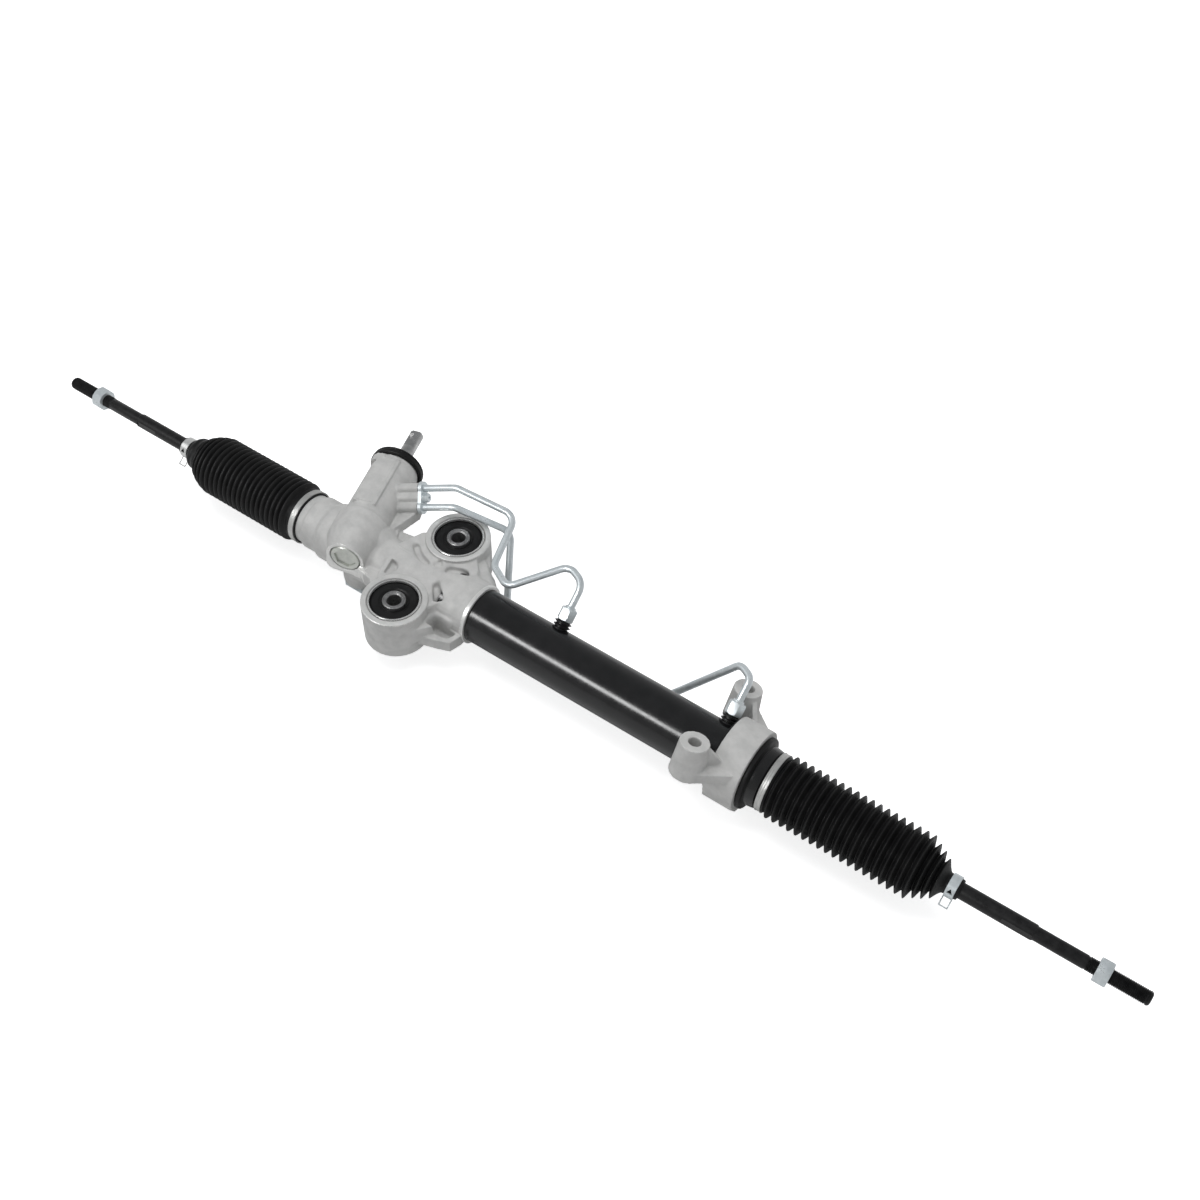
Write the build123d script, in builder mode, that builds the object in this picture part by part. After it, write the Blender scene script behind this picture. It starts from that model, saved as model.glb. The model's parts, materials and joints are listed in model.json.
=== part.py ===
"""Power rack-and-pinion steering gear. Millimetres, rack axis along X, mount bushing axes along Z."""

import os
from math import acos, atan2, cos, degrees, pi, radians, sin, sqrt, tan

from build123d import *

# ---------------------------------------------------------------- driving dimensions
# Tie rods
TIP_LEFT = -508.0
TIP_RIGHT = 764.3
ROD_R = 7.55
SHANK_R = 6.6
THREAD_R = 6.9
SHANK_LENGTH = 105.0
TIP_CHAMFER = 1.5
WRENCH_FLAT_LENGTH = 28.0
WRENCH_FLAT_ACROSS = 13.0
BALL_R = 12.0
BALL_LEFT = -207.0
BALL_RIGHT = 463.0
BALL_NECK_R = 6.6
JAM_NUT_LEFT = -463.0
JAM_NUT_RIGHT = 722.0
JAM_NUT_ACROSS = 22.0
JAM_NUT_THICKNESS = 12.0
JAM_NUT_GAP = 1.0

# Inner ball sockets, screwed on the rack ends
SOCKET_R = 19.5
SOCKET_BACK = 30.0
SOCKET_FRONT = 13.0
SOCKET_STUD_R = 6.5
SOCKET_STUD_LENGTH = 12.0
SEAT_WALL = 2.2

# Rack and pinion
RACK_R = 14.0
RACK_LEFT = BALL_LEFT + SOCKET_BACK
RACK_RIGHT = BALL_RIGHT - SOCKET_BACK
TRAVEL_LEFT = 78.0
TRAVEL_RIGHT = 66.0
MODULE = 2.0
PINION_TEETH = 8
PRESSURE_DEG = 20.0
PROFILE_SHIFT = 0.6
BACKLASH = 0.12
PINION_LEAN_DEG = 16.63
PINION_X = -88.7
PINION_ADDENDUM = 2.7
PINION_DEDENDUM = 1.35
RACK_ADDENDUM = 1.05
RACK_DEDENDUM = 3.05
PINION_Z = 18.5
PINION_FACE_START = -13.0
PINION_FACE_END = 15.0
PINION_END_GAP = 2.5
TOOTH_STEPS = 5
FLANK_STEPS = 3
ROOT_RELIEF_DEG = 3.5

# Cylinder
TUBE_R = 28.0
TUBE_WALL = 3.0
TUBE_START = 28.0
TUBE_END = 382.0
TUBE_COLLAR_END = 67.0
PISTON_X = 243.0
PISTON_WIDTH = 16.0
PORT_LEFT_X = 148.0
PORT_RIGHT_X = 338.5
PORT_LEFT_TURN = 50.0
PORT_RIGHT_TURN = 50.0
PISTON_SEAT_R = 13.0
PISTON_RING_WIDTH = 5.0
PISTON_RING_DEPTH = 3.0
RACK_BUSH_X = -68.0
RACK_BUSH_WIDTH = 12.0
RUNNING_FIT = 0.04
SEAT_CLEARANCE = 0.3

# Gear housing
HOUSING_LEFT = -165.3
BOOT_SEAT_R = 26.5
COLLAR_LEFT = -145.7
COLLAR_R = 29.0
GEAR_BOX_LEFT = -124.0
GEAR_BOX_RIGHT = -64.0
GEAR_BOX_R = 31.5
BARREL_R = 25.0
TUBE_COLLAR_WALL = 3.5
TUBE_COLLAR_R = TUBE_R + TUBE_COLLAR_WALL
TUBE_COLLAR_START = 26.0
CAST_SLOPE = 4.0
SOCKET_BORE_R = 21.5
SOCKET_BORE_END = -106.0
RACK_BORE_R = 14.6

# Pinion tower, along the pinion axis from the point nearest the rack
TOWER_R = 25.0
TOWER_TOP = 98.0
PLUG_FACE = -35.0
PLUG_R = 16.5
PLUG_DEPTH = 11.0
PLUG_BOSS_R = 20.5
PLUG_LOBE_R = 9.0
PLUG_LOBE_DEPTH = 14.0
TOWER_ROOT_R = 28.0
TOWER_ROOT_START = -31.0
TOWER_ROOT_END = 12.0
LOWER_BEARING_R = 12.0
LOWER_JOURNAL_R = 6.0
LOWER_JOURNAL_START = -23.0
UPPER_BEARING_R = 17.5
UPPER_JOURNAL_R = 10.0
UPPER_BEARING_START = 18.0
UPPER_BEARING_WIDTH = 12.0
GEAR_CHAMBER_R = 12.2
VALVE_BORE_R = 19.0
VALVE_START = 32.0
VALVE_END = 80.0
SPOOL_R = 11.0
TORSION_R = 2.6
TORSION_START = 4.0
TORSION_END = 138.0
VALVE_RINGS = 4
VALVE_RING_PITCH = 12.0
VALVE_RING_WIDTH = 3.0
VALVE_GROOVE_R = 17.0
INPUT_R = 7.5
INPUT_END = 153.0
SPLINE_LENGTH = 24.0
SPLINE_COUNT = 24
SHAFT_SEAL_START = 83.0
SHAFT_SEAL_WIDTH = 8.0
DUST_RING_R = 29.0
DUST_RING_WIDTH = 9.0
DUST_SEAT = 4.0
DUST_SEAT_R = 23.0
PLUG_SOCKET_ACROSS = 22.0
TOWER_PAD_HEIGHT = 25.6
TOWER_PAD_WIDTH = 25.0
LUG_DROP = 15.0
LUG_WIDTH = 10.0

# Yoke
YOKE_R = 16.0
YOKE_BOSS_R = 22.0
YOKE_BOSS_BOTTOM = -44.0
YOKE_TOP = -5.0
YOKE_BOTTOM = -25.0
YOKE_PLUG_TOP = -33.0
YOKE_NUT_THICKNESS = 6.0
YOKE_NUT_ACROSS = 38.0
YOKE_SCREW_R = 13.0
SPRING_R = 8.0
SPRING_WIRE_R = 1.3
SPRING_TURNS = 2

# Frame bushings
BUSHING_SPACING = 101.0
MOUNT_TOP = 27.0
MOUNT_BOTTOM = -22.0
MOUNT_R = 33.0
BUSHING_R = 27.1
BUSHING_SHELL_WALL = 1.6
BUSHING_RUBBER_R = 22.9
BUSHING_SLEEVE_R = 11.6
BUSHING_HOLE_R = 7.1

# Hydraulic lines
LINE_R = 3.7
LINE_WALL = 0.9
PORT_FACE = 50.0
PORT_PLATE = 4.0
PORT_TILT_DEG = 20.0
PORT_ALONG = 53.0
PORT_HALF_ALONG = 7.35
PORT_HALF_UP = 6.5
PORT_STUB_R = 5.6
PORT_PLATE_R = 7.0
PORT_GUSSET = 10.0
PORT_BOSS_R = 8.0
PORT_BOSS_HEIGHT = 8.0
LINE_NUT_ACROSS = 15.0
LINE_NUT_LENGTH = 13.0
PORT_SCREW_R = 3.0
PORT_SCREW_DEPTH = 16.0
PORT_SCREW_ACROSS = 8.5
PORT_SCREW_WASHER_R = 5.4

# Saddle bracket at the far end of the tube
BRACKET_BOLT_X = 336.2
BRACKET_SPACING = 101.0
BRACKET_TURN_DEG = 16.0
BRACKET_TOP = 42.2
BRACKET_BOTTOM = 6.0
BRACKET_BOSS_TOP_R = 14.0
BRACKET_BOSS_BOTTOM_R = 17.0
BRACKET_HOLE_R = 6.1
SADDLE_START = 351.0
SADDLE_END = 381.7
RUBBER_WALL = 5.5
SADDLE_WALL = 7.5
SADDLE_BORE_R = TUBE_R + RUBBER_WALL
SADDLE_R = SADDLE_BORE_R + SADDLE_WALL
RUBBER_FLANGE_STEP = 3.0
RUBBER_FLANGE_R = SADDLE_BORE_R + RUBBER_FLANGE_STEP
RUBBER_FLANGE = 9.5
LUMP_SINK = 2.0
LUMP_AT_R = RUBBER_FLANGE_R - LUMP_SINK
LUMP_R = 5.0
NECK_END = 406.5
NECK_STEP = 0.6
NECK_R = TUBE_R + NECK_STEP

# Boots
BOOT_WALL = 1.8
LEFT_CREST_R = 32.6
RIGHT_CREST_R = 31.6
LEFT_FOLD_DEPTH = 4.8
RIGHT_FOLD_DEPTH = 6.2
LEFT_FOLDS = 18
RIGHT_FOLDS = 19
LEFT_FOLD_PITCH = 6.55
RIGHT_FOLD_PITCH = 7.75
BAND_WIDTH = 6.0
BAND_THICKNESS = 1.2
CUFF_LIP = 1.5
SMALL_BAND_WIDTH = 8.5
LEFT_BAND_X = -158.5
RIGHT_BAND_X = 402.0
LEFT_CUFF_X = -329.5
RIGHT_CUFF_X = 583.5

# ---------------------------------------------------------------- derived frames
LEAN = radians(PINION_LEAN_DEG)
PINION_DIR = Vector(-sin(LEAN), cos(LEAN), 0)
ACROSS_DIR = Vector(cos(LEAN), sin(LEAN), 0)
PINION_ORIGIN = Vector(PINION_X, 0, PINION_Z)
PINION_AXIS = Axis(PINION_ORIGIN, PINION_DIR)
PINION_PROFILE = Plane(origin=PINION_ORIGIN, x_dir=PINION_DIR, z_dir=(0, 0, 1))
PINION_PITCH_R = PINION_TEETH * MODULE / 2 / cos(LEAN)
PITCH = pi * MODULE
PITCH_LINE_Z = PINION_Z - PINION_PITCH_R

PORT_TILT = radians(PORT_TILT_DEG)
PORT_DIR = ACROSS_DIR * cos(PORT_TILT) + Vector(0, 0, sin(PORT_TILT))
PORT_UP = ACROSS_DIR * -sin(PORT_TILT) + Vector(0, 0, cos(PORT_TILT))

PORT_SLANT_DEG = degrees(atan2(PORT_HALF_UP, PORT_HALF_ALONG))
PORT_REACH = sqrt(PORT_HALF_UP**2 + PORT_HALF_ALONG**2)

BRACKET_TURN = radians(BRACKET_TURN_DEG)
BRACKET_DIR = Vector(0, sin(BRACKET_TURN), cos(BRACKET_TURN))
BRACKET_SIDE = Vector(0, cos(BRACKET_TURN), -sin(BRACKET_TURN))


def rack_plane(x):
    """Plane square to the rack axis, with its own x along +Y and its own y along +Z."""
    return Plane.YZ.offset(x)


def pinion_plane(along):
    """Plane square to the pinion axis, with its own y along +Z."""
    return Plane(origin=PINION_ORIGIN + PINION_DIR * along, x_dir=-ACROSS_DIR, z_dir=PINION_DIR)


def port_plane(out, along=PORT_ALONG):
    """Plane of the hydraulic port face, at a distance out from the pinion axis."""
    return Plane(origin=PINION_ORIGIN + PINION_DIR * along + PORT_DIR * out, x_dir=PINION_DIR, z_dir=PORT_DIR)


def bracket_plane(height):
    """Plane square to the bracket bolts, with its own x along the rack."""
    return Plane(origin=Vector(BRACKET_BOLT_X, 0, 0) + BRACKET_DIR * height, x_dir=(1, 0, 0), z_dir=BRACKET_DIR)


def fitting_plane(x, turn, radius):
    """Plane square to a tube fitting that leans back from +Z by turn degrees."""
    out = Vector(0, sin(radians(turn)), cos(radians(turn)))
    return Plane(origin=Vector(x, 0, 0) + out * radius, x_dir=(1, 0, 0), z_dir=out)


def outline(plane, points):
    """Closed straight-sided outline on a plane."""
    with BuildSketch(plane) as face:
        with BuildLine():
            Polyline(*points, close=True)
        make_face()
    return face.sketch


def tooth_half(height):
    """Half thickness of a rack tooth at a height above the pitch line."""
    pinion_tooth = MODULE * (pi / 2 + 2 * PROFILE_SHIFT * tan(radians(PRESSURE_DEG)))
    return (PITCH - pinion_tooth - BACKLASH) / 2 - height * tan(radians(PRESSURE_DEG))


def stepped(plane, steps, bore=0.0):
    """Half section of a turned piece: steps of (start, end, radius) over a bore."""
    points = [(steps[0][0], bore)]
    for start, end, radius in steps:
        points.append((start, radius))
        if end != start:
            points.append((end, radius))
    points.append((steps[-1][1], bore))
    return outline(plane, points)


def disc(plane, radius, inner=0.0):
    """Round face or ring on a plane."""
    with BuildSketch(plane) as face:
        Circle(radius)
        if inner:
            Circle(inner, mode=Mode.SUBTRACT)
    return face.sketch


def hexagon(plane, across):
    """Hexagon by its width across flats."""
    with BuildSketch(plane) as face:
        RegularPolygon(across / 2, 6, major_radius=False)
    return face.sketch


def save(piece, name):
    """Label a finished piece and write its STEP file."""
    piece.part.label = name
    export_step(piece.part, f"parts/{name}.step")


os.makedirs("parts", exist_ok=True)

# ---------------------------------------------------------------- gear housing
# Aluminium casting: rack barrel, gear box, pinion tower, yoke boss, two bushing eyes and their ribs.
WEB_TOP = 12.0
WEB_BOTTOM = -7.0
TABLE_TOP = 23.0
POCKET_FLOOR = 17.0
CRESCENT_GAP = 10.0
CRESCENT_WIDTH = 6.5
SQUARE_POCKET = 8.0
SQUARE_POCKET_DEPTH = 5.0
REAR_WALL_TOP = 16.0
EYE_TO_WALL = MOUNT_R - 1
LOOP_BOTTOM = -14.0
LOOP_TOP = 0.0
LOOP_FLOOR = 3.5
EYE_Y = BUSHING_SPACING / 2
with BuildPart() as gear_housing:
    revolve(
        stepped(
            Plane.XY,
            [
                (HOUSING_LEFT, COLLAR_LEFT, BOOT_SEAT_R),
                (COLLAR_LEFT, GEAR_BOX_LEFT - CAST_SLOPE, COLLAR_R),
                (GEAR_BOX_LEFT, GEAR_BOX_RIGHT, GEAR_BOX_R),
                (GEAR_BOX_RIGHT + 2 * CAST_SLOPE, TUBE_COLLAR_START - 3 * CAST_SLOPE, BARREL_R),
                (TUBE_COLLAR_START, TUBE_COLLAR_END, TUBE_COLLAR_R),
            ],
        ),
        axis=Axis.X,
    )
    revolve(
        stepped(
            PINION_PROFILE,
            [
                (PLUG_FACE, TOWER_ROOT_START, PLUG_BOSS_R),
                (TOWER_ROOT_START + 4 * CAST_SLOPE, TOWER_ROOT_END, TOWER_ROOT_R),
                (TOWER_ROOT_END + CAST_SLOPE, TOWER_TOP, TOWER_R),
            ],
        ),
        axis=PINION_AXIS,
    )
    # Flange round the plug, drawn out to a rounded corner on each side below it
    with BuildSketch(pinion_plane(PLUG_FACE)):
        Circle(PLUG_BOSS_R)
        with Locations((13, -13)):
            Circle(PLUG_LOBE_R)
        with Locations((-7.5, -16.5)):
            Circle(PLUG_LOBE_R - 2.5)
        make_hull()
    extrude(amount=PLUG_LOBE_DEPTH)
    extrude(disc(Plane.XY.offset(YOKE_BOSS_BOTTOM), YOKE_BOSS_R).moved(Location((PINION_X, 0, 0))), -YOKE_BOSS_BOTTOM)
    with BuildSketch(Plane.XY.offset(MOUNT_BOTTOM)):
        with Locations((0, EYE_Y), (0, -EYE_Y)):
            Circle(MOUNT_R)
    extrude(amount=MOUNT_TOP - MOUNT_BOTTOM)
    # Webs from the gear box and the tube collar to the eyes
    with BuildSketch(Plane.XY.offset(WEB_BOTTOM)):
        for side in (1, -1):
            with BuildLine():
                Polyline(
                    (GEAR_BOX_RIGHT - 6, side * 20),
                    (GEAR_BOX_RIGHT, side * 32),
                    (GEAR_BOX_RIGHT + 18, side * 35),
                    (-MOUNT_R + 2, side * EYE_Y),
                    (0, side * (EYE_Y + 20)),
                    (24, side * 72),
                    (54, side * 31),
                    (54, side * 20),
                    close=True,
                )
            make_face()
    extrude(amount=WEB_TOP - WEB_BOTTOM)
    # Raised table that ties both eyes to the barrel, lightened by pockets
    with BuildSketch(Plane.XY):
        with BuildLine():
            Polyline(
                (-30, -44),
                (-38, -30),
                (-45, -6),
                (-46, 10),
                (-36, 36),
                (-30, 44),
                (28, 44),
                (42, 30),
                (46, 8),
                (42, -10),
                (34, -28),
                (28, -44),
                close=True,
            )
        make_face()
    extrude(amount=TABLE_TOP)
    # Rear wall that falls from the rear eye to the tube collar
    with BuildSketch(Plane.XY.offset(WEB_BOTTOM)):
        with BuildLine():
            Polyline((18, 40), (EYE_TO_WALL, EYE_Y), (61, 34), (61, 20), (40, 10), close=True)
        make_face()
    extrude(amount=REAR_WALL_TOP - WEB_BOTTOM)
    with BuildSketch(Plane.XY.offset(POCKET_FLOOR)):
        # Crescent that follows the rear eye
        SlotArc(CenterArc((0, EYE_Y), MOUNT_R + CRESCENT_GAP, 226, 34), CRESCENT_WIDTH)
        for pocket in (
            ((-38, -8), (-29, -10), (-25, -18), (-33, -28)),
            ((15, -10), (21, -7), (36, -21), (30, -27)),
        ):
            with BuildLine():
                Polyline(*pocket, close=True)
            make_face()
        with Locations(Location((25, 16), 23)):
            SlotOverall(24, 11)
    extrude(amount=TABLE_TOP, mode=Mode.SUBTRACT)
    # Shallow square pocket over the barrel
    with BuildSketch(Plane.XY.offset(BARREL_R - SQUARE_POCKET_DEPTH)):
        with Locations((4, 13)):
            Rectangle(SQUARE_POCKET, SQUARE_POCKET, rotation=-35)
    extrude(amount=TABLE_TOP, mode=Mode.SUBTRACT)
    # Long rib down the side of the tower to the rear eye
    with BuildSketch(Plane.XY.offset(2)):
        with BuildLine():
            Polyline((-92, 62), (-72, 18), (-58, 24), (-70, 44), (-84, 66), close=True)
        make_face()
    extrude(amount=14)
    # Flat pad along the top of the tower
    with BuildSketch(pinion_plane(22)):
        with Locations((2.0, TOWER_PAD_HEIGHT / 2)):
            Rectangle(TOWER_PAD_WIDTH, TOWER_PAD_HEIGHT)
    extrude(amount=66)
    extrude(disc(pinion_plane(TOWER_TOP - DUST_SEAT), TOWER_R + 2, DUST_SEAT_R), DUST_SEAT + 1, mode=Mode.SUBTRACT)
    # Lug on the corner of the pad, beside the tower mouth
    with BuildSketch(pinion_plane(TOWER_TOP - LUG_DROP)):
        with BuildLine():
            Polyline(
                (8, TOWER_PAD_HEIGHT),
                (17, TOWER_PAD_HEIGHT - 1.5),
                (TOWER_R - 3, TOWER_PAD_HEIGHT - 6),
                (TOWER_R - 1, -4),
                (TOWER_R - 5, -8),
                (8, 0),
                close=True,
            )
        make_face()
    extrude(amount=LUG_WIDTH)
    # Raised bead along the pad's right edge
    with BuildSketch(pinion_plane(TOWER_ROOT_END + 12)):
        with Locations((-TOWER_PAD_WIDTH / 2 + 5, TOWER_PAD_HEIGHT)):
            Rectangle(1.6, 1.6)
    extrude(amount=TOWER_TOP - LUG_DROP - TOWER_ROOT_END - 6)
    # Port block
    with BuildSketch(port_plane(PORT_FACE)):
        with Locations((PORT_HALF_ALONG, PORT_HALF_UP), (0, 0), (-PORT_HALF_ALONG, -PORT_HALF_UP)):
            Circle(PORT_STUB_R)
    extrude(amount=-(PORT_FACE - 6))
    # Gusset under the lower port
    gusset_top = PINION_ORIGIN + PORT_UP * (PORT_STUB_R / 2 - PORT_HALF_UP - PORT_STUB_R)
    with BuildSketch(Plane(origin=gusset_top, x_dir=PINION_DIR, z_dir=-PORT_UP)):
        with BuildLine():
            Polyline(
                (PORT_ALONG - 39, 18),
                (PORT_ALONG - 4, 18),
                (PORT_ALONG - 4, PORT_FACE - 5),
                (PORT_ALONG - 12, PORT_FACE - 4),
                (PORT_ALONG - 32, 31),
                (PORT_ALONG - 39, 26),
                close=True,
            )
        make_face()
    extrude(amount=PORT_GUSSET)
    # Lipped pocket between the front eye and the tube collar
    with BuildSketch(Plane.XY.offset(LOOP_BOTTOM)):
        with BuildLine():
            Polyline(
                (26, -58),
                (50, -51),
                (63, -46),
                (TUBE_COLLAR_END, -32),
                (TUBE_COLLAR_END, -20),
                (26, -20),
                close=True,
            )
        make_face()
    extrude(amount=LOOP_TOP - LOOP_BOTTOM)
    with BuildSketch(Plane.XY.offset(LOOP_BOTTOM + LOOP_FLOOR)):
        with BuildLine():
            Polyline((35, -45), (50, -45), (58, -42), (61, -33), (35, -33), close=True)
        make_face()
    extrude(amount=WEB_TOP - LOOP_BOTTOM, mode=Mode.SUBTRACT)
    # Bores
    revolve(
        stepped(
            Plane.XY,
            [
                (HOUSING_LEFT, SOCKET_BORE_END, SOCKET_BORE_R),
                (SOCKET_BORE_END, TUBE_START, RACK_BORE_R),
                (TUBE_START, TUBE_COLLAR_END + 10, TUBE_R),
            ],
        ),
        axis=Axis.X,
        mode=Mode.SUBTRACT,
    )
    revolve(
        stepped(
            PINION_PROFILE,
            [
                (PLUG_FACE, PLUG_FACE + PLUG_DEPTH, PLUG_R),
                (PLUG_FACE + PLUG_DEPTH, PINION_FACE_START - PINION_END_GAP, LOWER_BEARING_R),
                (PINION_FACE_START - PINION_END_GAP, UPPER_BEARING_START, GEAR_CHAMBER_R),
                (UPPER_BEARING_START, UPPER_BEARING_START + UPPER_BEARING_WIDTH, UPPER_BEARING_R),
                (UPPER_BEARING_START + UPPER_BEARING_WIDTH, TOWER_TOP, VALVE_BORE_R),
            ],
        ),
        axis=PINION_AXIS,
        mode=Mode.SUBTRACT,
    )
    extrude(
        disc(Plane.XY.offset(YOKE_BOSS_BOTTOM), YOKE_R).moved(Location((PINION_X, 0, 0))),
        -YOKE_BOSS_BOTTOM,
        mode=Mode.SUBTRACT,
    )
    with BuildSketch(Plane.XY.offset(MOUNT_BOTTOM)):
        with Locations((0, EYE_Y), (0, -EYE_Y)):
            Circle(BUSHING_R)
    extrude(amount=MOUNT_TOP - MOUNT_BOTTOM, mode=Mode.SUBTRACT)
    # Fluid ports into the valve bore
    with BuildSketch(port_plane(PORT_FACE)):
        with Locations((PORT_HALF_ALONG, PORT_HALF_UP), (-PORT_HALF_ALONG, -PORT_HALF_UP)):
            Circle(LINE_R)
    extrude(amount=-(PORT_FACE - 12), mode=Mode.SUBTRACT)
    extrude(disc(port_plane(PORT_FACE), PORT_SCREW_R), -PORT_SCREW_DEPTH, mode=Mode.SUBTRACT)
save(gear_housing, "gear_housing")

# ---------------------------------------------------------------- cylinder tube and its ends
# Drawn steel tube pressed into the housing collar, with bulkheads either side of the piston's stroke.
TUBE_BORE_R = TUBE_R - TUBE_WALL
INNER_BULKHEAD_END = PORT_LEFT_X - 5
INNER_BULKHEAD_START = INNER_BULKHEAD_END - 22
OUTER_BULKHEAD_START = PORT_RIGHT_X + 5
OUTER_BULKHEAD_END = RACK_RIGHT - TRAVEL_LEFT - 1
ROD_SEAL_WIDTH = 7.0
ROD_SEAL_R = 19.0
PORTS = ((PORT_LEFT_X, PORT_LEFT_TURN), (PORT_RIGHT_X, PORT_RIGHT_TURN))

with BuildPart() as cylinder_tube:
    extrude(disc(rack_plane(TUBE_START), TUBE_R, TUBE_BORE_R), TUBE_END - TUBE_START)
    for port_x, port_turn in PORTS:
        extrude(disc(fitting_plane(port_x, port_turn, 0), LINE_R - LINE_WALL), TUBE_R + 5, mode=Mode.SUBTRACT)
save(cylinder_tube, "cylinder_tube")

for name, start, end, seal_at in (
    ("inner_bulkhead", INNER_BULKHEAD_START, INNER_BULKHEAD_END, INNER_BULKHEAD_END - ROD_SEAL_WIDTH),
    ("outer_bulkhead", OUTER_BULKHEAD_START, OUTER_BULKHEAD_END, OUTER_BULKHEAD_START),
):
    with BuildPart() as bulkhead:
        extrude(disc(rack_plane(start), TUBE_BORE_R, RACK_R + RUNNING_FIT), end - start)
        extrude(disc(rack_plane(seal_at), ROD_SEAL_R), ROD_SEAL_WIDTH, mode=Mode.SUBTRACT)
    save(bulkhead, name)
    with BuildPart() as rod_seal:
        extrude(disc(rack_plane(seal_at), ROD_SEAL_R, RACK_R + RUNNING_FIT), ROD_SEAL_WIDTH)
    save(rod_seal, name.replace("bulkhead", "rod_seal"))

# Threaded port bosses brazed on the tube
with BuildPart() as port_bosses:
    for port_x, port_turn in PORTS:
        extrude(disc(fitting_plane(port_x, port_turn, TUBE_R - 1), PORT_BOSS_R), PORT_BOSS_HEIGHT + 1)
    extrude(disc(rack_plane(TUBE_START), TUBE_R), TUBE_END - TUBE_START, mode=Mode.SUBTRACT)
    for port_x, port_turn in PORTS:
        extrude(disc(fitting_plane(port_x, port_turn, 0), LINE_R), TUBE_R * 2, mode=Mode.SUBTRACT)
save(port_bosses, "port_bosses")

LINE_NUT_START = TUBE_R + PORT_BOSS_HEIGHT
with BuildPart() as line_nuts:
    for port_x, port_turn in PORTS:
        extrude(hexagon(fitting_plane(port_x, port_turn, LINE_NUT_START), LINE_NUT_ACROSS), LINE_NUT_LENGTH)
        nut_top = LINE_NUT_START + LINE_NUT_LENGTH
        extrude(disc(fitting_plane(port_x, port_turn, nut_top), LINE_R + 1.8), 2.0)
        extrude(disc(fitting_plane(port_x, port_turn, 0), LINE_R), nut_top + 10, mode=Mode.SUBTRACT)
save(line_nuts, "line_nuts")

# ---------------------------------------------------------------- hydraulic lines
# Bent steel tube from the port block to the two tube fittings.
def fitting_point(x, turn, radius):
    """Point on a tube fitting's axis."""
    return Vector(x, radius * sin(radians(turn)), radius * cos(radians(turn)))


def port_point(side, out):
    """Point on the axis of a port of the block: side 1 is the upper one."""
    along = PORT_ALONG + side * PORT_HALF_ALONG
    return PINION_ORIGIN + PINION_DIR * along + PORT_DIR * out + PORT_UP * (side * PORT_HALF_UP)


LINES = {
    "upper_line": (
        (port_point(1, PORT_FACE - 8), port_point(1, PORT_FACE + 42)),
        ((42, 92, 48), (52, 41, 27), (80.5, 25, 29), (125.4, 68.3, 50)),
        (
            fitting_point(PORT_LEFT_X, PORT_LEFT_TURN, 76),
            fitting_point(PORT_LEFT_X, PORT_LEFT_TURN, TUBE_R + 1),
        ),
        (14, 14, 12, 12, 14, 14),
    ),
    "lower_line": (
        (port_point(-1, PORT_FACE - 8), port_point(-1, PORT_FACE + 40)),
        ((38, 88.2, 25), (62, 47, -36), (254, 42, -36), (322, 66, 46)),
        (
            fitting_point(PORT_RIGHT_X, PORT_RIGHT_TURN, 74),
            fitting_point(PORT_RIGHT_X, PORT_RIGHT_TURN, TUBE_R + 1),
        ),
        (14, 14, 14, 14, 12, 9),
    ),
}
for name, (start, middle, finish, bends) in LINES.items():
    route = [tuple(p) for p in start] + list(middle) + [tuple(p) for p in finish]
    with BuildPart() as line:
        with BuildLine() as path:
            FilletPolyline(*route, radius=list(bends[: len(route) - 2]))
        with BuildSketch(Plane(origin=route[0], z_dir=path.line % 0)):
            Circle(LINE_R)
            Circle(LINE_R - LINE_WALL, mode=Mode.SUBTRACT)
        sweep()
    save(line, name)

# ---------------------------------------------------------------- port plate
# Zinc plate that holds both lines in the block, with one screw between them.
with BuildPart() as port_plate:
    with BuildSketch(port_plane(PORT_FACE)):
        with Locations((PORT_HALF_ALONG, PORT_HALF_UP), (-PORT_HALF_ALONG, -PORT_HALF_UP)):
            Circle(PORT_PLATE_R)
        Rectangle(2 * PORT_REACH, 2 * PORT_PLATE_R - 2, rotation=PORT_SLANT_DEG)
    extrude(amount=PORT_PLATE)
    with BuildSketch(port_plane(PORT_FACE)):
        with Locations((PORT_HALF_ALONG, PORT_HALF_UP), (-PORT_HALF_ALONG, -PORT_HALF_UP)):
            Circle(LINE_R)
        Circle(PORT_SCREW_R)
    extrude(amount=PORT_PLATE, mode=Mode.SUBTRACT)
save(port_plate, "port_plate")

with BuildPart() as port_screw:
    extrude(disc(port_plane(PORT_FACE - PORT_SCREW_DEPTH), PORT_SCREW_R), PORT_SCREW_DEPTH + PORT_PLATE)
    extrude(disc(port_plane(PORT_FACE + PORT_PLATE), PORT_SCREW_WASHER_R), 1.2)
    extrude(hexagon(port_plane(PORT_FACE + PORT_PLATE), PORT_SCREW_ACROSS), 6.0)
save(port_screw, "port_screw")

# ---------------------------------------------------------------- frame bushings
# Steel shell, bonded rubber with voids, and a long steel sleeve for the frame bolt.
with BuildPart() as bushing_shells:
    with BuildSketch(Plane.XY.offset(MOUNT_BOTTOM)):
        with Locations((0, EYE_Y), (0, -EYE_Y)):
            Circle(BUSHING_R)
            Circle(BUSHING_R - BUSHING_SHELL_WALL, mode=Mode.SUBTRACT)
    extrude(amount=MOUNT_TOP - MOUNT_BOTTOM)
save(bushing_shells, "bushing_shells")

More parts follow.
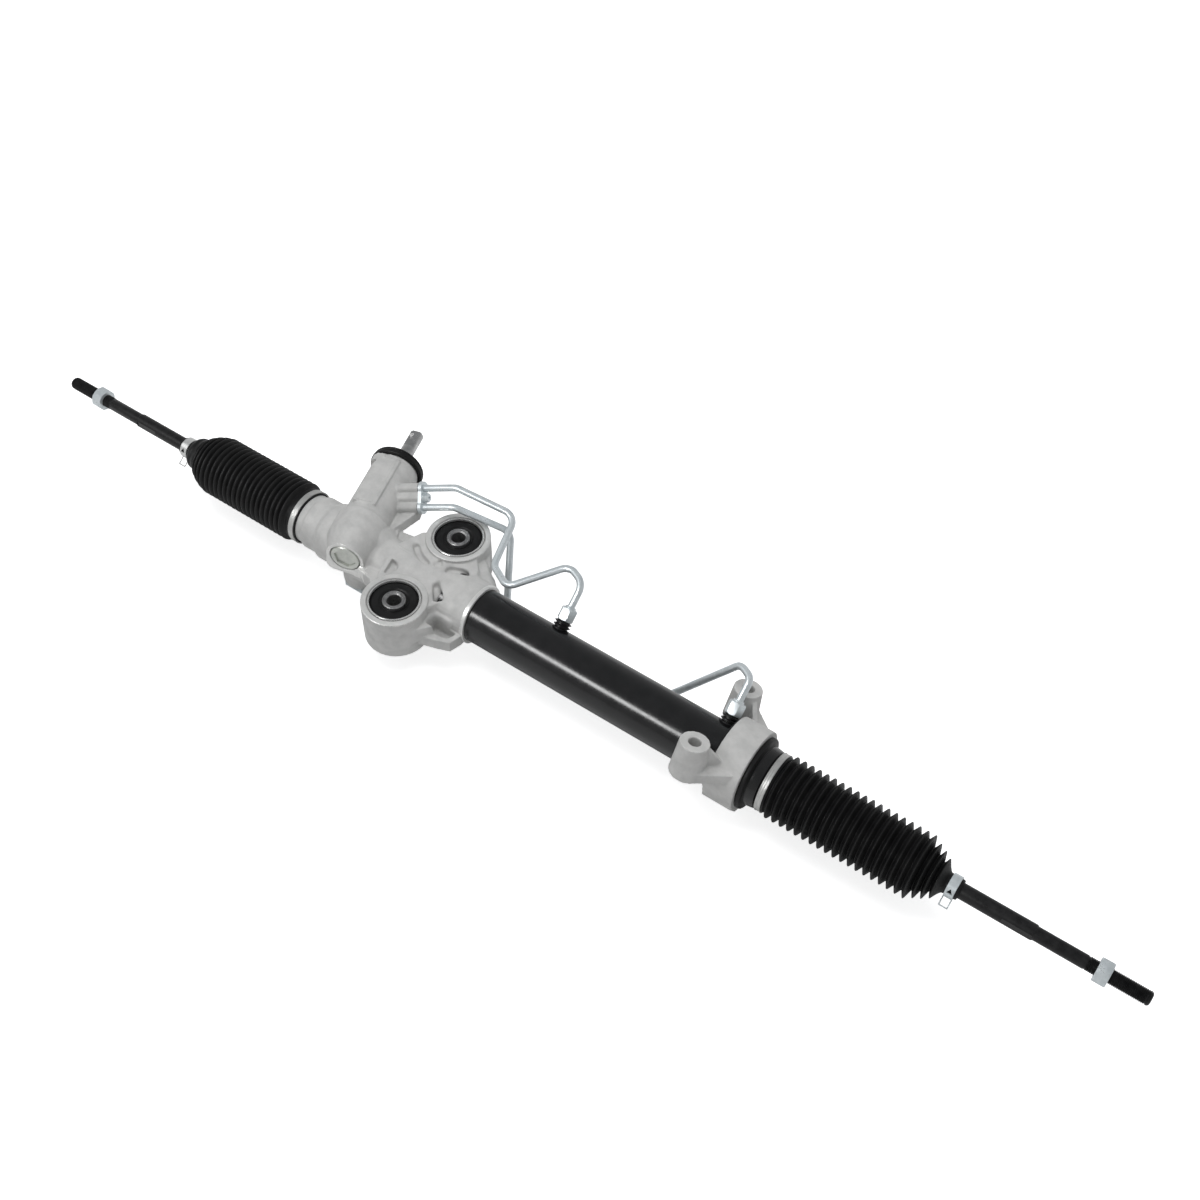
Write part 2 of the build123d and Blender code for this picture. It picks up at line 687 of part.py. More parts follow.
with BuildPart() as bushing_rubbers:
    with BuildSketch(Plane.XY.offset(MOUNT_BOTTOM + 3)):
        with Locations((0, EYE_Y), (0, -EYE_Y)):
            Circle(BUSHING_R - BUSHING_SHELL_WALL)
            Circle(BUSHING_SLEEVE_R, mode=Mode.SUBTRACT)
    extrude(amount=MOUNT_TOP - MOUNT_BOTTOM - 6)
    with BuildSketch(Plane.XY.offset(MOUNT_TOP - 3)):
        with Locations((0, EYE_Y), (0, -EYE_Y)):
            Circle(BUSHING_RUBBER_R)
            Circle(BUSHING_SLEEVE_R, mode=Mode.SUBTRACT)
    extrude(amount=1.6)
save(bushing_rubbers, "bushing_rubbers")

with BuildPart() as bushing_sleeves:
    with BuildSketch(Plane.XY.offset(MOUNT_BOTTOM)):
        with Locations((0, EYE_Y), (0, -EYE_Y)):
            Circle(BUSHING_SLEEVE_R)
            Circle(BUSHING_HOLE_R, mode=Mode.SUBTRACT)
    extrude(amount=MOUNT_TOP - MOUNT_BOTTOM)
save(bushing_sleeves, "bushing_sleeves")

# ---------------------------------------------------------------- saddle bracket
# Aluminium saddle round the tube on a rubber ring, with two bolt bosses turned back from +Z.
BRACKET_Y = BRACKET_SPACING / 2
BRACKET_LENGTH = BRACKET_TOP - BRACKET_BOTTOM
FIN_HALF = 2.5
with BuildPart() as saddle_bracket:
    extrude(disc(rack_plane(SADDLE_START), SADDLE_R), SADDLE_END - SADDLE_START)
    # Block below the front of the saddle, cut back at its lower corner
    with BuildSketch(rack_plane(SADDLE_START)):
        with BuildLine():
            Polyline(
                (0, BRACKET_BOTTOM),
                (1 - SADDLE_R, BRACKET_BOTTOM),
                (1 - SADDLE_R, -14),
                (-29, -31),
                (-12, -SADDLE_R),
                (0, -SADDLE_R),
                close=True,
            )
        make_face()
    extrude(amount=SADDLE_END - SADDLE_START)
    for side in (1, -1):
        with BuildSketch(bracket_plane(BRACKET_TOP)):
            with Locations((0, side * BRACKET_Y)):
                Circle(BRACKET_BOSS_TOP_R)
        with BuildSketch(bracket_plane(BRACKET_BOTTOM)):
            with Locations((0, side * BRACKET_Y)):
                Circle(BRACKET_BOSS_BOTTOM_R)
        loft()
        # Arm from the boss to the saddle
        with BuildSketch(bracket_plane(BRACKET_BOTTOM)):
            with BuildLine():
                Polyline(
                    (-12, side * (BRACKET_Y + 12)),
                    (10, side * (BRACKET_Y + 13)),
                    (SADDLE_END - BRACKET_BOLT_X - 2, side * 34),
                    (SADDLE_END - BRACKET_BOLT_X - 2, side * 8),
                    (SADDLE_START - BRACKET_BOLT_X, side * 8),
                    (SADDLE_START - BRACKET_BOLT_X, side * 34),
                    (-12, side * (BRACKET_Y - 12)),
                    close=True,
                )
            make_face()
        extrude(amount=11)
        # Upright fin that slopes from the boss top down to the saddle
        fin_run = (Vector(1, 0, 0) - BRACKET_SIDE * side).normalized()
        fin_start = bracket_plane(BRACKET_BOTTOM).from_local_coords(Vector(9, side * (BRACKET_Y - 4), 0))
        with BuildSketch(Plane(origin=fin_start, x_dir=fin_run, z_dir=fin_run.cross(BRACKET_DIR))):
            with BuildLine():
                fin_top = BRACKET_LENGTH - 3
                Polyline((0, 0), (0, fin_top), (3, fin_top), (20, 16), (20, 0), close=True)
            make_face()
        extrude(amount=FIN_HALF, both=True)
    with BuildSketch(bracket_plane(BRACKET_BOTTOM)):
        with Locations((0, BRACKET_Y), (0, -BRACKET_Y)):
            Circle(BRACKET_HOLE_R)
    extrude(amount=BRACKET_LENGTH, mode=Mode.SUBTRACT)
    extrude(disc(rack_plane(SADDLE_START), SADDLE_BORE_R), SADDLE_END - SADDLE_START, mode=Mode.SUBTRACT)
    extrude(disc(rack_plane(SADDLE_START), SADDLE_BORE_R + 4), -60, mode=Mode.SUBTRACT)
save(saddle_bracket, "saddle_bracket")

# Rubber ring between the saddle and the tube, with a collar at each side
with BuildPart() as saddle_rubber:
    revolve(
        stepped(
            Plane.XY,
            [
                (SADDLE_START - 3, SADDLE_START, SADDLE_BORE_R + 3),
                (SADDLE_START, SADDLE_END, SADDLE_BORE_R),
                (SADDLE_END, SADDLE_END + RUBBER_FLANGE, RUBBER_FLANGE_R),
            ],
            TUBE_R,
        ),
        axis=Axis.X,
    )
    # Locating lump on the collar
    with BuildSketch(rack_plane(SADDLE_END)):
        with Locations((LUMP_AT_R * sin(radians(40)), LUMP_AT_R * cos(radians(40)))):
            Circle(LUMP_R)
    extrude(amount=RUBBER_FLANGE)
save(saddle_rubber, "saddle_rubber")

# Steel neck in the tube's open end that carries the boot
with BuildPart() as tube_neck:
    revolve(
        stepped(
            Plane.XY,
            [
                (TUBE_END - 14, TUBE_END, TUBE_BORE_R),
                (TUBE_END, SADDLE_END + RUBBER_FLANGE, TUBE_R),
                (SADDLE_END + RUBBER_FLANGE, RIGHT_BAND_X - BAND_WIDTH, NECK_R),
                (RIGHT_BAND_X - BAND_WIDTH, NECK_END, BOOT_SEAT_R),
            ],
            SOCKET_BORE_R,
        ),
        axis=Axis.X,
    )
save(tube_neck, "tube_neck")

# ---------------------------------------------------------------- rack assembly
# Forged bar: teeth cut square across its top, a drilled end each side for the ball sockets.
with BuildPart() as rack_bar:
    extrude(disc(rack_plane(RACK_LEFT), RACK_R), RACK_RIGHT - RACK_LEFT)
    chamfer(rack_bar.edges().filter_by(GeomType.CIRCLE), 1.0)
    # Flat at the tooth tips, then one gap for each tooth pitch
    tooth_tip_z = PITCH_LINE_Z + RACK_ADDENDUM
    tooth_root_z = PITCH_LINE_Z - RACK_DEDENDUM
    gaps_left = int((TRAVEL_RIGHT + 10) / PITCH) + 1
    gaps_right = int((TRAVEL_LEFT + 10) / PITCH) + 1
    half_space = (PITCH - tooth_half(0) * 2) / 2
    flat_left = PINION_X - gaps_left * PITCH - PITCH / 2
    flat_right = PINION_X + gaps_right * PITCH + PITCH / 2
    with BuildSketch(Plane.XZ):
        with BuildLine():
            Polyline(
                (flat_left, tooth_tip_z),
                (flat_left - 2, RACK_R + 1),
                (flat_right + 2, RACK_R + 1),
                (flat_right, tooth_tip_z),
                close=True,
            )
        make_face()
        for count in range(-gaps_left, gaps_right + 1):
            centre = PINION_X + count * PITCH
            half_tip = PITCH / 2 - tooth_half(RACK_ADDENDUM)
            half_root = PITCH / 2 - tooth_half(-RACK_DEDENDUM)
            with BuildLine():
                Polyline(
                    (centre - half_tip, tooth_tip_z),
                    (centre - half_root, tooth_root_z),
                    (centre + half_root, tooth_root_z),
                    (centre + half_tip, tooth_tip_z),
                    close=True,
                )
            make_face()
    extrude(amount=RACK_R + 1, both=True, mode=Mode.SUBTRACT)
    for end, inward in ((RACK_LEFT, 1), (RACK_RIGHT, -1)):
        extrude(disc(rack_plane(end), SOCKET_STUD_R), inward * SOCKET_STUD_LENGTH, mode=Mode.SUBTRACT)
    # Piston groove
    extrude(disc(rack_plane(PISTON_X - PISTON_WIDTH / 2), RACK_R, PISTON_SEAT_R), PISTON_WIDTH, mode=Mode.SUBTRACT)
save(rack_bar, "rack_bar")

# Steel piston swaged on the rack, with a low-friction ring
PISTON_R = TUBE_BORE_R - 0.6
with BuildPart() as rack_piston:
    extrude(disc(rack_plane(PISTON_X - PISTON_WIDTH / 2), PISTON_R, PISTON_SEAT_R), PISTON_WIDTH)
    extrude(
        disc(rack_plane(PISTON_X - PISTON_RING_WIDTH / 2), PISTON_R + 1, PISTON_R - PISTON_RING_DEPTH),
        PISTON_RING_WIDTH,
        mode=Mode.SUBTRACT,
    )
save(rack_piston, "rack_piston")
with BuildPart() as piston_ring:
    extrude(
        disc(
            rack_plane(PISTON_X - PISTON_RING_WIDTH / 2),
            TUBE_BORE_R - RUNNING_FIT,
            PISTON_R - PISTON_RING_DEPTH,
        ),
        PISTON_RING_WIDTH,
    )
save(piston_ring, "piston_ring")

# Plastic bush that guides the rack at the gear box end
with BuildPart() as rack_bush:
    extrude(disc(rack_plane(RACK_BUSH_X), RACK_BORE_R, RACK_R + RUNNING_FIT), RACK_BUSH_WIDTH)
save(rack_bush, "rack_bush")

# ---------------------------------------------------------------- pinion and valve
# Helical pinion: each tooth is an involute, twisted so that it lies square to the rack at the mesh.
TRANSVERSE = atan2(tan(radians(PRESSURE_DEG)), cos(LEAN))
BASE_R = PINION_PITCH_R * cos(TRANSVERSE)
PINION_ROOT_R = PINION_PITCH_R - PINION_DEDENDUM
PINION_TIP_R = PINION_PITCH_R + PINION_ADDENDUM
TWIST_PER_MM = -tan(LEAN) / PINION_PITCH_R


def involute(angle):
    return tan(angle) - angle


def pinion_tooth_half_angle(radius):
    """Half angle of a pinion tooth at a radius."""
    thickness = MODULE * (pi / 2 + 2 * PROFILE_SHIFT * tan(radians(PRESSURE_DEG))) / cos(LEAN)
    at_radius = acos(min(1.0, BASE_R / radius))
    relief = radians(ROOT_RELIEF_DEG) * max(0.0, BASE_R - radius) / (BASE_R - PINION_ROOT_R)
    return thickness / (2 * PINION_PITCH_R) + involute(TRANSVERSE) - involute(at_radius) - relief


def pinion_outline(along):
    """Tooth outline at a place along the pinion."""
    flank = [PINION_ROOT_R] + [
        BASE_R + (PINION_TIP_R - BASE_R) * step / FLANK_STEPS for step in range(FLANK_STEPS + 1)
    ]
    points = []
    for tooth in range(PINION_TEETH):
        middle = -pi / 2 + 2 * pi * tooth / PINION_TEETH + TWIST_PER_MM * along
        for side, radii in ((-1, flank), (1, reversed(flank))):
            for radius in radii:
                angle = middle + side * pinion_tooth_half_angle(radius)
                points.append((radius * cos(angle), radius * sin(angle)))
    return outline(pinion_plane(along), points)


UPPER_JOURNAL_END = VALVE_START - 1
with BuildPart() as pinion_gear:
    face_step = (PINION_FACE_END - PINION_FACE_START) / TOOTH_STEPS
    loft([pinion_outline(PINION_FACE_START + face_step * step) for step in range(TOOTH_STEPS + 1)], ruled=True)
    revolve(
        stepped(
            PINION_PROFILE,
            [
                (LOWER_JOURNAL_START, PINION_FACE_START, LOWER_JOURNAL_R),
                (PINION_FACE_START, PINION_FACE_END, PINION_ROOT_R - 1),
                (PINION_FACE_END, UPPER_JOURNAL_END, UPPER_JOURNAL_R),
            ],
        ),
        axis=PINION_AXIS,
    )
    extrude(disc(pinion_plane(TORSION_START), TORSION_R), UPPER_JOURNAL_END - TORSION_START, mode=Mode.SUBTRACT)
save(pinion_gear, "pinion_gear")

with BuildPart() as valve_sleeve:
    extrude(disc(pinion_plane(VALVE_START), VALVE_BORE_R - RUNNING_FIT, SPOOL_R), VALVE_END - VALVE_START)
    for ring in range(VALVE_RINGS):
        ring_at = VALVE_START + 4 + ring * VALVE_RING_PITCH
        extrude(
            disc(pinion_plane(ring_at), VALVE_BORE_R, VALVE_GROOVE_R), VALVE_RING_WIDTH, mode=Mode.SUBTRACT
        )
save(valve_sleeve, "valve_sleeve")
with BuildPart() as valve_rings:
    for ring in range(VALVE_RINGS):
        ring_at = VALVE_START + 4 + ring * VALVE_RING_PITCH
        extrude(disc(pinion_plane(ring_at), VALVE_BORE_R - RUNNING_FIT, VALVE_GROOVE_R), VALVE_RING_WIDTH)
save(valve_rings, "valve_rings")

with BuildPart() as input_shaft:
    revolve(
        stepped(
            PINION_PROFILE,
            [
                (VALVE_START, VALVE_END, SPOOL_R),
                (VALVE_END + 1, INPUT_END - 1, INPUT_R),
                (INPUT_END, INPUT_END, INPUT_R - 1),
            ],
        ),
        axis=PINION_AXIS,
    )
    # Serrations for the column coupling, and the notch that its pinch bolt crosses
    with BuildSketch(pinion_plane(INPUT_END - SPLINE_LENGTH)):
        with PolarLocations(INPUT_R, SPLINE_COUNT):
            RegularPolygon(0.8, 4)
    extrude(amount=SPLINE_LENGTH, mode=Mode.SUBTRACT)
    with BuildSketch(pinion_plane(INPUT_END - 11)):
        with Locations((-INPUT_R, INPUT_R * 0.75)):
            Rectangle(8, 8, rotation=45)
    extrude(amount=7, mode=Mode.SUBTRACT)
    extrude(disc(pinion_plane(VALVE_START), TORSION_R), TORSION_END - VALVE_START, mode=Mode.SUBTRACT)
save(input_shaft, "input_shaft")

with BuildPart() as torsion_bar:
    extrude(disc(pinion_plane(TORSION_START), TORSION_R), TORSION_END - TORSION_START)
save(torsion_bar, "torsion_bar")

# ---------------------------------------------------------------- tower bearings, seals and plug
with BuildPart() as lower_bearing:
    extrude(
        disc(pinion_plane(PLUG_FACE + PLUG_DEPTH), LOWER_BEARING_R, LOWER_JOURNAL_R + RUNNING_FIT),
        PINION_FACE_START - PINION_END_GAP - PLUG_FACE - PLUG_DEPTH,
    )
save(lower_bearing, "lower_bearing")
with BuildPart() as upper_bearing:
    extrude(
        disc(pinion_plane(UPPER_BEARING_START), UPPER_BEARING_R, UPPER_JOURNAL_R + RUNNING_FIT),
        UPPER_BEARING_WIDTH,
    )
save(upper_bearing, "upper_bearing")
with BuildPart() as shaft_seal:
    extrude(disc(pinion_plane(SHAFT_SEAL_START), VALVE_BORE_R, INPUT_R + RUNNING_FIT), SHAFT_SEAL_WIDTH)
save(shaft_seal, "shaft_seal")
with BuildPart() as dust_ring:
    revolve(
        stepped(
            PINION_PROFILE,
            [
                (TOWER_TOP - DUST_SEAT, TOWER_TOP - DUST_SEAT + DUST_RING_WIDTH - 1, DUST_RING_R),
                (TOWER_TOP - DUST_SEAT + DUST_RING_WIDTH, TOWER_TOP - DUST_SEAT + DUST_RING_WIDTH, DUST_RING_R - 1),
            ],
            INPUT_R + SEAT_CLEARANCE,
        ),
        axis=PINION_AXIS,
    )
    extrude(disc(pinion_plane(TOWER_TOP - DUST_SEAT - 1), DUST_SEAT_R), DUST_SEAT + 1, mode=Mode.SUBTRACT)
save(dust_ring, "dust_ring")

# Screwed plug that closes the pinion bore, with a hexagon socket
with BuildPart() as pinion_plug:
    extrude(disc(pinion_plane(PLUG_FACE), PLUG_R), PLUG_DEPTH)
    extrude(hexagon(pinion_plane(PLUG_FACE), PLUG_SOCKET_ACROSS), PLUG_DEPTH - 5, mode=Mode.SUBTRACT)
    chamfer(pinion_plug.edges().filter_by(GeomType.CIRCLE), 0.8)
save(pinion_plug, "pinion_plug")

# ---------------------------------------------------------------- rack yoke
# Aluminium slipper that a spring and a screwed plug hold against the rack's back.
with BuildPart() as rack_yoke:
    with BuildSketch(Plane.XY.offset(YOKE_BOTTOM)):
        with Locations((PINION_X, 0)):
            Circle(YOKE_R)
    extrude(amount=YOKE_TOP - YOKE_BOTTOM)
    extrude(disc(rack_plane(PINION_X - YOKE_R), RACK_R + RUNNING_FIT), 2 * YOKE_R, mode=Mode.SUBTRACT)
save(rack_yoke, "rack_yoke")
with BuildPart() as yoke_spring:
    spring_height = YOKE_BOTTOM - YOKE_PLUG_TOP - 2 * SPRING_WIRE_R
    with BuildLine() as coil:
        Helix(
            pitch=spring_height / SPRING_TURNS,
            height=spring_height,
            radius=SPRING_R,
            center=(PINION_X, 0, YOKE_PLUG_TOP + SPRING_WIRE_R),
        )
    with BuildSketch(Plane(origin=coil.line @ 0, z_dir=coil.line % 0)):
        Circle(SPRING_WIRE_R)
    sweep()
save(yoke_spring, "yoke_spring")
with BuildPart() as yoke_plug:
    for bottom, top, radius in (
        (YOKE_BOSS_BOTTOM, YOKE_PLUG_TOP, YOKE_R),
        (YOKE_BOSS_BOTTOM - YOKE_NUT_THICKNESS, YOKE_BOSS_BOTTOM, YOKE_SCREW_R),
    ):
        with BuildSketch(Plane.XY.offset(bottom)):
            with Locations((PINION_X, 0)):
                Circle(radius)
        extrude(amount=top - bottom)
    with BuildSketch(Plane.XY.offset(YOKE_BOSS_BOTTOM - YOKE_NUT_THICKNESS)):
        with Locations((PINION_X, 0)):
            RegularPolygon(6, 6, major_radius=False)
    extrude(amount=YOKE_NUT_THICKNESS, mode=Mode.SUBTRACT)
save(yoke_plug, "yoke_plug")
with BuildPart() as yoke_nut:
    with BuildSketch(Plane.XY.offset(YOKE_BOSS_BOTTOM - YOKE_NUT_THICKNESS)):
        with Locations((PINION_X, 0)):
            RegularPolygon(YOKE_NUT_ACROSS / 2, 6, major_radius=False)
            Circle(YOKE_SCREW_R, mode=Mode.SUBTRACT)
    extrude(amount=YOKE_NUT_THICKNESS)
save(yoke_nut, "yoke_nut")

# ---------------------------------------------------------------- inner ball joints and tie rods
SEAT_R = BALL_R + RUNNING_FIT + SEAT_WALL
CAVITY_R = SEAT_R + RUNNING_FIT
MOUTH_AT = 8.0
SIDES = (
    ("left", BALL_LEFT, -1, TIP_LEFT, JAM_NUT_LEFT),
    ("right", BALL_RIGHT, 1, TIP_RIGHT, JAM_NUT_RIGHT),
)
for side, ball_x, outward, tip_x, nut_x in SIDES:
    out_plane = Plane(origin=(ball_x, 0, 0), x_dir=(outward, 0, 0), z_dir=(0, 0, 1))

    # Socket housing, screwed into the rack's end
    with BuildPart() as socket:
        revolve(
            stepped(
                out_plane,
                [
                    (-SOCKET_BACK - SOCKET_STUD_LENGTH, -SOCKET_BACK, SOCKET_STUD_R),
                    (-SOCKET_BACK, SOCKET_FRONT - 5, SOCKET_R),
                    (SOCKET_FRONT, SOCKET_FRONT, SOCKET_R - 4),
                ],
            ),
            axis=Axis.X,
        )
        with Locations((ball_x, 0, 0)):
            Sphere(CAVITY_R, mode=Mode.SUBTRACT)
        mouth_r = sqrt(CAVITY_R**2 - MOUTH_AT**2)
        revolve(
            stepped(out_plane, [(MOUTH_AT, MOUTH_AT, mouth_r), (SOCKET_FRONT, SOCKET_FRONT, mouth_r + 1)]),
            axis=Axis.X,
            mode=Mode.SUBTRACT,
        )
    save(socket, f"{side}_socket")

    # Plastic ball seat
    with BuildPart() as ball_seat:
        with Locations((ball_x, 0, 0)):
            Sphere(SEAT_R)
            Sphere(BALL_R + RUNNING_FIT, mode=Mode.SUBTRACT)
        revolve(
            stepped(out_plane, [(MOUTH_AT - 0.4, SOCKET_R, SOCKET_R)]),
            axis=Axis.X,
            mode=Mode.SUBTRACT,
        )
    save(ball_seat, f"{side}_ball_seat")

    # Tie rod: ball, neck, round rod, wrench flats and the threaded shank
    tip = abs(tip_x - ball_x)
    shank = tip - SHANK_LENGTH
    thread = abs(nut_x - ball_x) + JAM_NUT_THICKNESS / 2 + JAM_NUT_GAP
    with BuildPart() as tie_rod:
        with Locations((ball_x, 0, 0)):
            Sphere(BALL_R)
        revolve(
            stepped(
                out_plane,
                [
                    (BALL_R * 0.5, BALL_R + 12, BALL_NECK_R),
                    (BALL_R + 18, shank, ROD_R),
                    (shank + 1.5, thread, SHANK_R),
                    (thread + THREAD_R - SHANK_R, tip - TIP_CHAMFER, THREAD_R),
                    (tip, tip, THREAD_R - TIP_CHAMFER),
                ],
            ),
            axis=Axis.X,
        )
        with BuildSketch(rack_plane(ball_x + outward * (shank - WRENCH_FLAT_LENGTH))):
            Rectangle(2 * ROD_R + 2, 2 * ROD_R + 2)
            Rectangle(WRENCH_FLAT_ACROSS, 2 * ROD_R + 2, mode=Mode.SUBTRACT)
        extrude(amount=outward * WRENCH_FLAT_LENGTH, mode=Mode.SUBTRACT)
    save(tie_rod, f"{side}_tie_rod")

    with BuildPart() as jam_nut:
        with BuildSketch(rack_plane(nut_x - JAM_NUT_THICKNESS / 2)):
            RegularPolygon(JAM_NUT_ACROSS / 2, 6, major_radius=False)
            Circle(SHANK_R, mode=Mode.SUBTRACT)
        extrude(amount=JAM_NUT_THICKNESS)
    save(jam_nut, f"{side}_jam_nut")

# ---------------------------------------------------------------- boots and their clamps
CUFF_BORE_R = ROD_R + SEAT_CLEARANCE
CUFF_R = CUFF_BORE_R + 2.0
BIG_CUFF_R = BOOT_SEAT_R + 2.0


def bellows(crests, depth):
    """Outline points of a row of V folds from their crests, each fold as deep as its lower neighbour allows."""
    points = []
    for (x, crest), (next_x, next_crest) in zip(crests, crests[1:]):
        points.append((x, crest))
        points.append(((x + next_x) / 2, min(crest, next_crest) - depth))
    points.append(crests[-1])
    return points


def boot(outer):
    """Closed half section of a boot from its outer points: the inner wall follows the outer one."""
    inner = [(x, radius - BOOT_WALL) for x, radius in outer[2:-2]]
    section = outer + [(outer[-1][0], CUFF_BORE_R), (outer[-2][0], CUFF_BORE_R)]
    section += list(reversed(inner))
    section += [(outer[1][0], BOOT_SEAT_R), (outer[0][0], BOOT_SEAT_R)]
    return outline(Plane.XY, section)


LEFT_FOLD_START = LEFT_BAND_X - 13
RIGHT_FOLD_START = RIGHT_BAND_X + 9
LEFT_LAST = LEFT_FOLD_START - LEFT_FOLD_PITCH * (LEFT_FOLDS - 1)
RIGHT_LAST = RIGHT_FOLD_START + RIGHT_FOLD_PITCH * (RIGHT_FOLDS - 1)
LEFT_CRESTS = [(LEFT_FOLD_START - LEFT_FOLD_PITCH * fold, LEFT_CREST_R) for fold in range(LEFT_FOLDS)]
LEFT_CRESTS += [
    (LEFT_LAST - 6.5, LEFT_CREST_R - 1.6),
    (LEFT_LAST - 13, LEFT_CREST_R - 4.2),
    (LEFT_LAST - 19, LEFT_CREST_R - 7.6),
    (LEFT_LAST - 25, LEFT_CREST_R - 12.0),
]
RIGHT_CRESTS = [(RIGHT_FOLD_START + RIGHT_FOLD_PITCH * fold, RIGHT_CREST_R) for fold in range(RIGHT_FOLDS)]
RIGHT_CRESTS += [
    (RIGHT_LAST + 7.2, RIGHT_CREST_R - 4.3),
    (RIGHT_LAST + 13.8, RIGHT_CREST_R - 7.7),
    (RIGHT_LAST + 20.2, RIGHT_CREST_R - 11.2),
]
LEFT_BOOT_POINTS = (
    [
        (LEFT_BAND_X + BAND_WIDTH / 2 + CUFF_LIP, BIG_CUFF_R),
        (HOUSING_LEFT - 0.7, BIG_CUFF_R),
        (HOUSING_LEFT - 2.5, LEFT_CREST_R - LEFT_FOLD_DEPTH),
    ]
    + bellows(LEFT_CRESTS, LEFT_FOLD_DEPTH)
    + [(LEFT_CUFF_X + 13, 15.0), (LEFT_CUFF_X + 9, CUFF_R), (LEFT_CUFF_X - 8, CUFF_R)]
)
RIGHT_BOOT_POINTS = (
    [
        (RIGHT_BAND_X - BAND_WIDTH, BIG_CUFF_R),
        (NECK_END + 0.6, BIG_CUFF_R),
        (NECK_END + 2, RIGHT_CREST_R - RIGHT_FOLD_DEPTH),
    ]
    + bellows(RIGHT_CRESTS, RIGHT_FOLD_DEPTH)
    + [(RIGHT_CUFF_X - 8.5, 13.0), (RIGHT_CUFF_X - 7, CUFF_R), (RIGHT_CUFF_X + 7, CUFF_R)]
)
for name, points in (("left_boot", LEFT_BOOT_POINTS), ("right_boot", RIGHT_BOOT_POINTS)):
    with BuildPart() as rubber_boot:
        revolve(boot(points), axis=Axis.X)
    save(rubber_boot, name)

for name, centre in (("left_boot_band", LEFT_BAND_X), ("right_boot_band", RIGHT_BAND_X)):
    with BuildPart() as band:
        extrude(
            disc(rack_plane(centre - BAND_WIDTH / 2), BIG_CUFF_R + BAND_THICKNESS, BIG_CUFF_R), BAND_WIDTH
        )
    save(band, name)
for name, centre in (("left_rod_clamp", LEFT_CUFF_X), ("right_rod_clamp", RIGHT_CUFF_X)):
    with BuildPart() as clamp:
        clamp_bore = CUFF_R + SEAT_CLEARANCE
        extrude(
            disc(rack_plane(centre - SMALL_BAND_WIDTH / 2), clamp_bore + BAND_THICKNESS, clamp_bore),
            SMALL_BAND_WIDTH,
        )
    save(clamp, name)
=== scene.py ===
import json
from math import cos, hypot, pi, radians, sin, sqrt

import bpy
from mathutils import Matrix, Vector


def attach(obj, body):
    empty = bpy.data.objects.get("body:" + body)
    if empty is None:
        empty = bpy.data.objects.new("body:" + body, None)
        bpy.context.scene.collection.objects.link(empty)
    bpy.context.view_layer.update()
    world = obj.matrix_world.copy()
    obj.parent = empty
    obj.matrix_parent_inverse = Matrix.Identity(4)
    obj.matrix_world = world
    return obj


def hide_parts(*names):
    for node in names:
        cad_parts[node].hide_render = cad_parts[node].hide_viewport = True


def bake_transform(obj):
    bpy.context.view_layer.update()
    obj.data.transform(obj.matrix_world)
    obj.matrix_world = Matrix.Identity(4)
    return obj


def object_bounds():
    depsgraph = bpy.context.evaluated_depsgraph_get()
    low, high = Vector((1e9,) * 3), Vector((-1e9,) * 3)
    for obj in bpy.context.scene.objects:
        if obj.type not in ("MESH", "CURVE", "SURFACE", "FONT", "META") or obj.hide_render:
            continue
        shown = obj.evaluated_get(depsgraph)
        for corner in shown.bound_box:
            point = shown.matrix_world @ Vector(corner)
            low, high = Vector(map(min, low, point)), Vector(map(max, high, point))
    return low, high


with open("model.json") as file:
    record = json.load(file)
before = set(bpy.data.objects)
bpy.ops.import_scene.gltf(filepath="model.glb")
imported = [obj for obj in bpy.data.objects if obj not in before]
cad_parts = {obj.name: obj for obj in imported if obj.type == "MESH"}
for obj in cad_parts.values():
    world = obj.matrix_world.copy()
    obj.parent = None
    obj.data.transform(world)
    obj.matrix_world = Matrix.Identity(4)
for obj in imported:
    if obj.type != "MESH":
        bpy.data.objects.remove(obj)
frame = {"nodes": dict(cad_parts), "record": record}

cad_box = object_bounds()
nodes = frame["nodes"]
MM = 0.001


# ---------------------------------------------------------------- camera, floor and light
# A studio table seen from above the right front corner, with the floor and the room plain white to the eye.
# A broad lamp hangs above, a small one stands at the left, and a long one in front draws the line of light
# that runs along the enamelled tube.
CAMERA_AT = Vector((0.6696, -0.7088, 1.1482))
CAMERA_TURN = radians(-33.17)
CAMERA_DOWN = radians(50.45)
CAMERA_ROLL = radians(-2.06)
CAMERA_LENS = 44.69

reach = cos(CAMERA_DOWN)
forward = Vector((reach * sin(CAMERA_TURN), reach * cos(CAMERA_TURN), -sin(CAMERA_DOWN)))
level = forward.cross(Vector((0, 0, 1))).normalized()
below = forward.cross(level)
across = level * cos(CAMERA_ROLL) + below * sin(CAMERA_ROLL)
down = below * cos(CAMERA_ROLL) - level * sin(CAMERA_ROLL)
camera_data = bpy.data.cameras.new("camera")
camera_data.lens = CAMERA_LENS
camera_data.sensor_width = 36.0
camera_data.clip_start = 0.05
camera_data.clip_end = 50.0
camera = bpy.data.objects.new("camera", camera_data)
camera.matrix_world = Matrix.Translation(CAMERA_AT) @ Matrix((across, -down, -forward)).transposed().to_4x4()
bpy.context.scene.collection.objects.link(camera)
bpy.context.scene.camera = camera
bpy.context.scene.view_settings.view_transform = "Standard"


def put_down():
    """Leaves edit mode and selects nothing."""
    if bpy.context.object and bpy.context.object.mode != "OBJECT":
        bpy.ops.object.mode_set(mode="OBJECT")
    bpy.ops.object.select_all(action="DESELECT")


def pick_up(piece):
    """Selects one piece alone."""
    put_down()
    piece.select_set(True)
    bpy.context.view_layer.objects.active = piece
    return piece


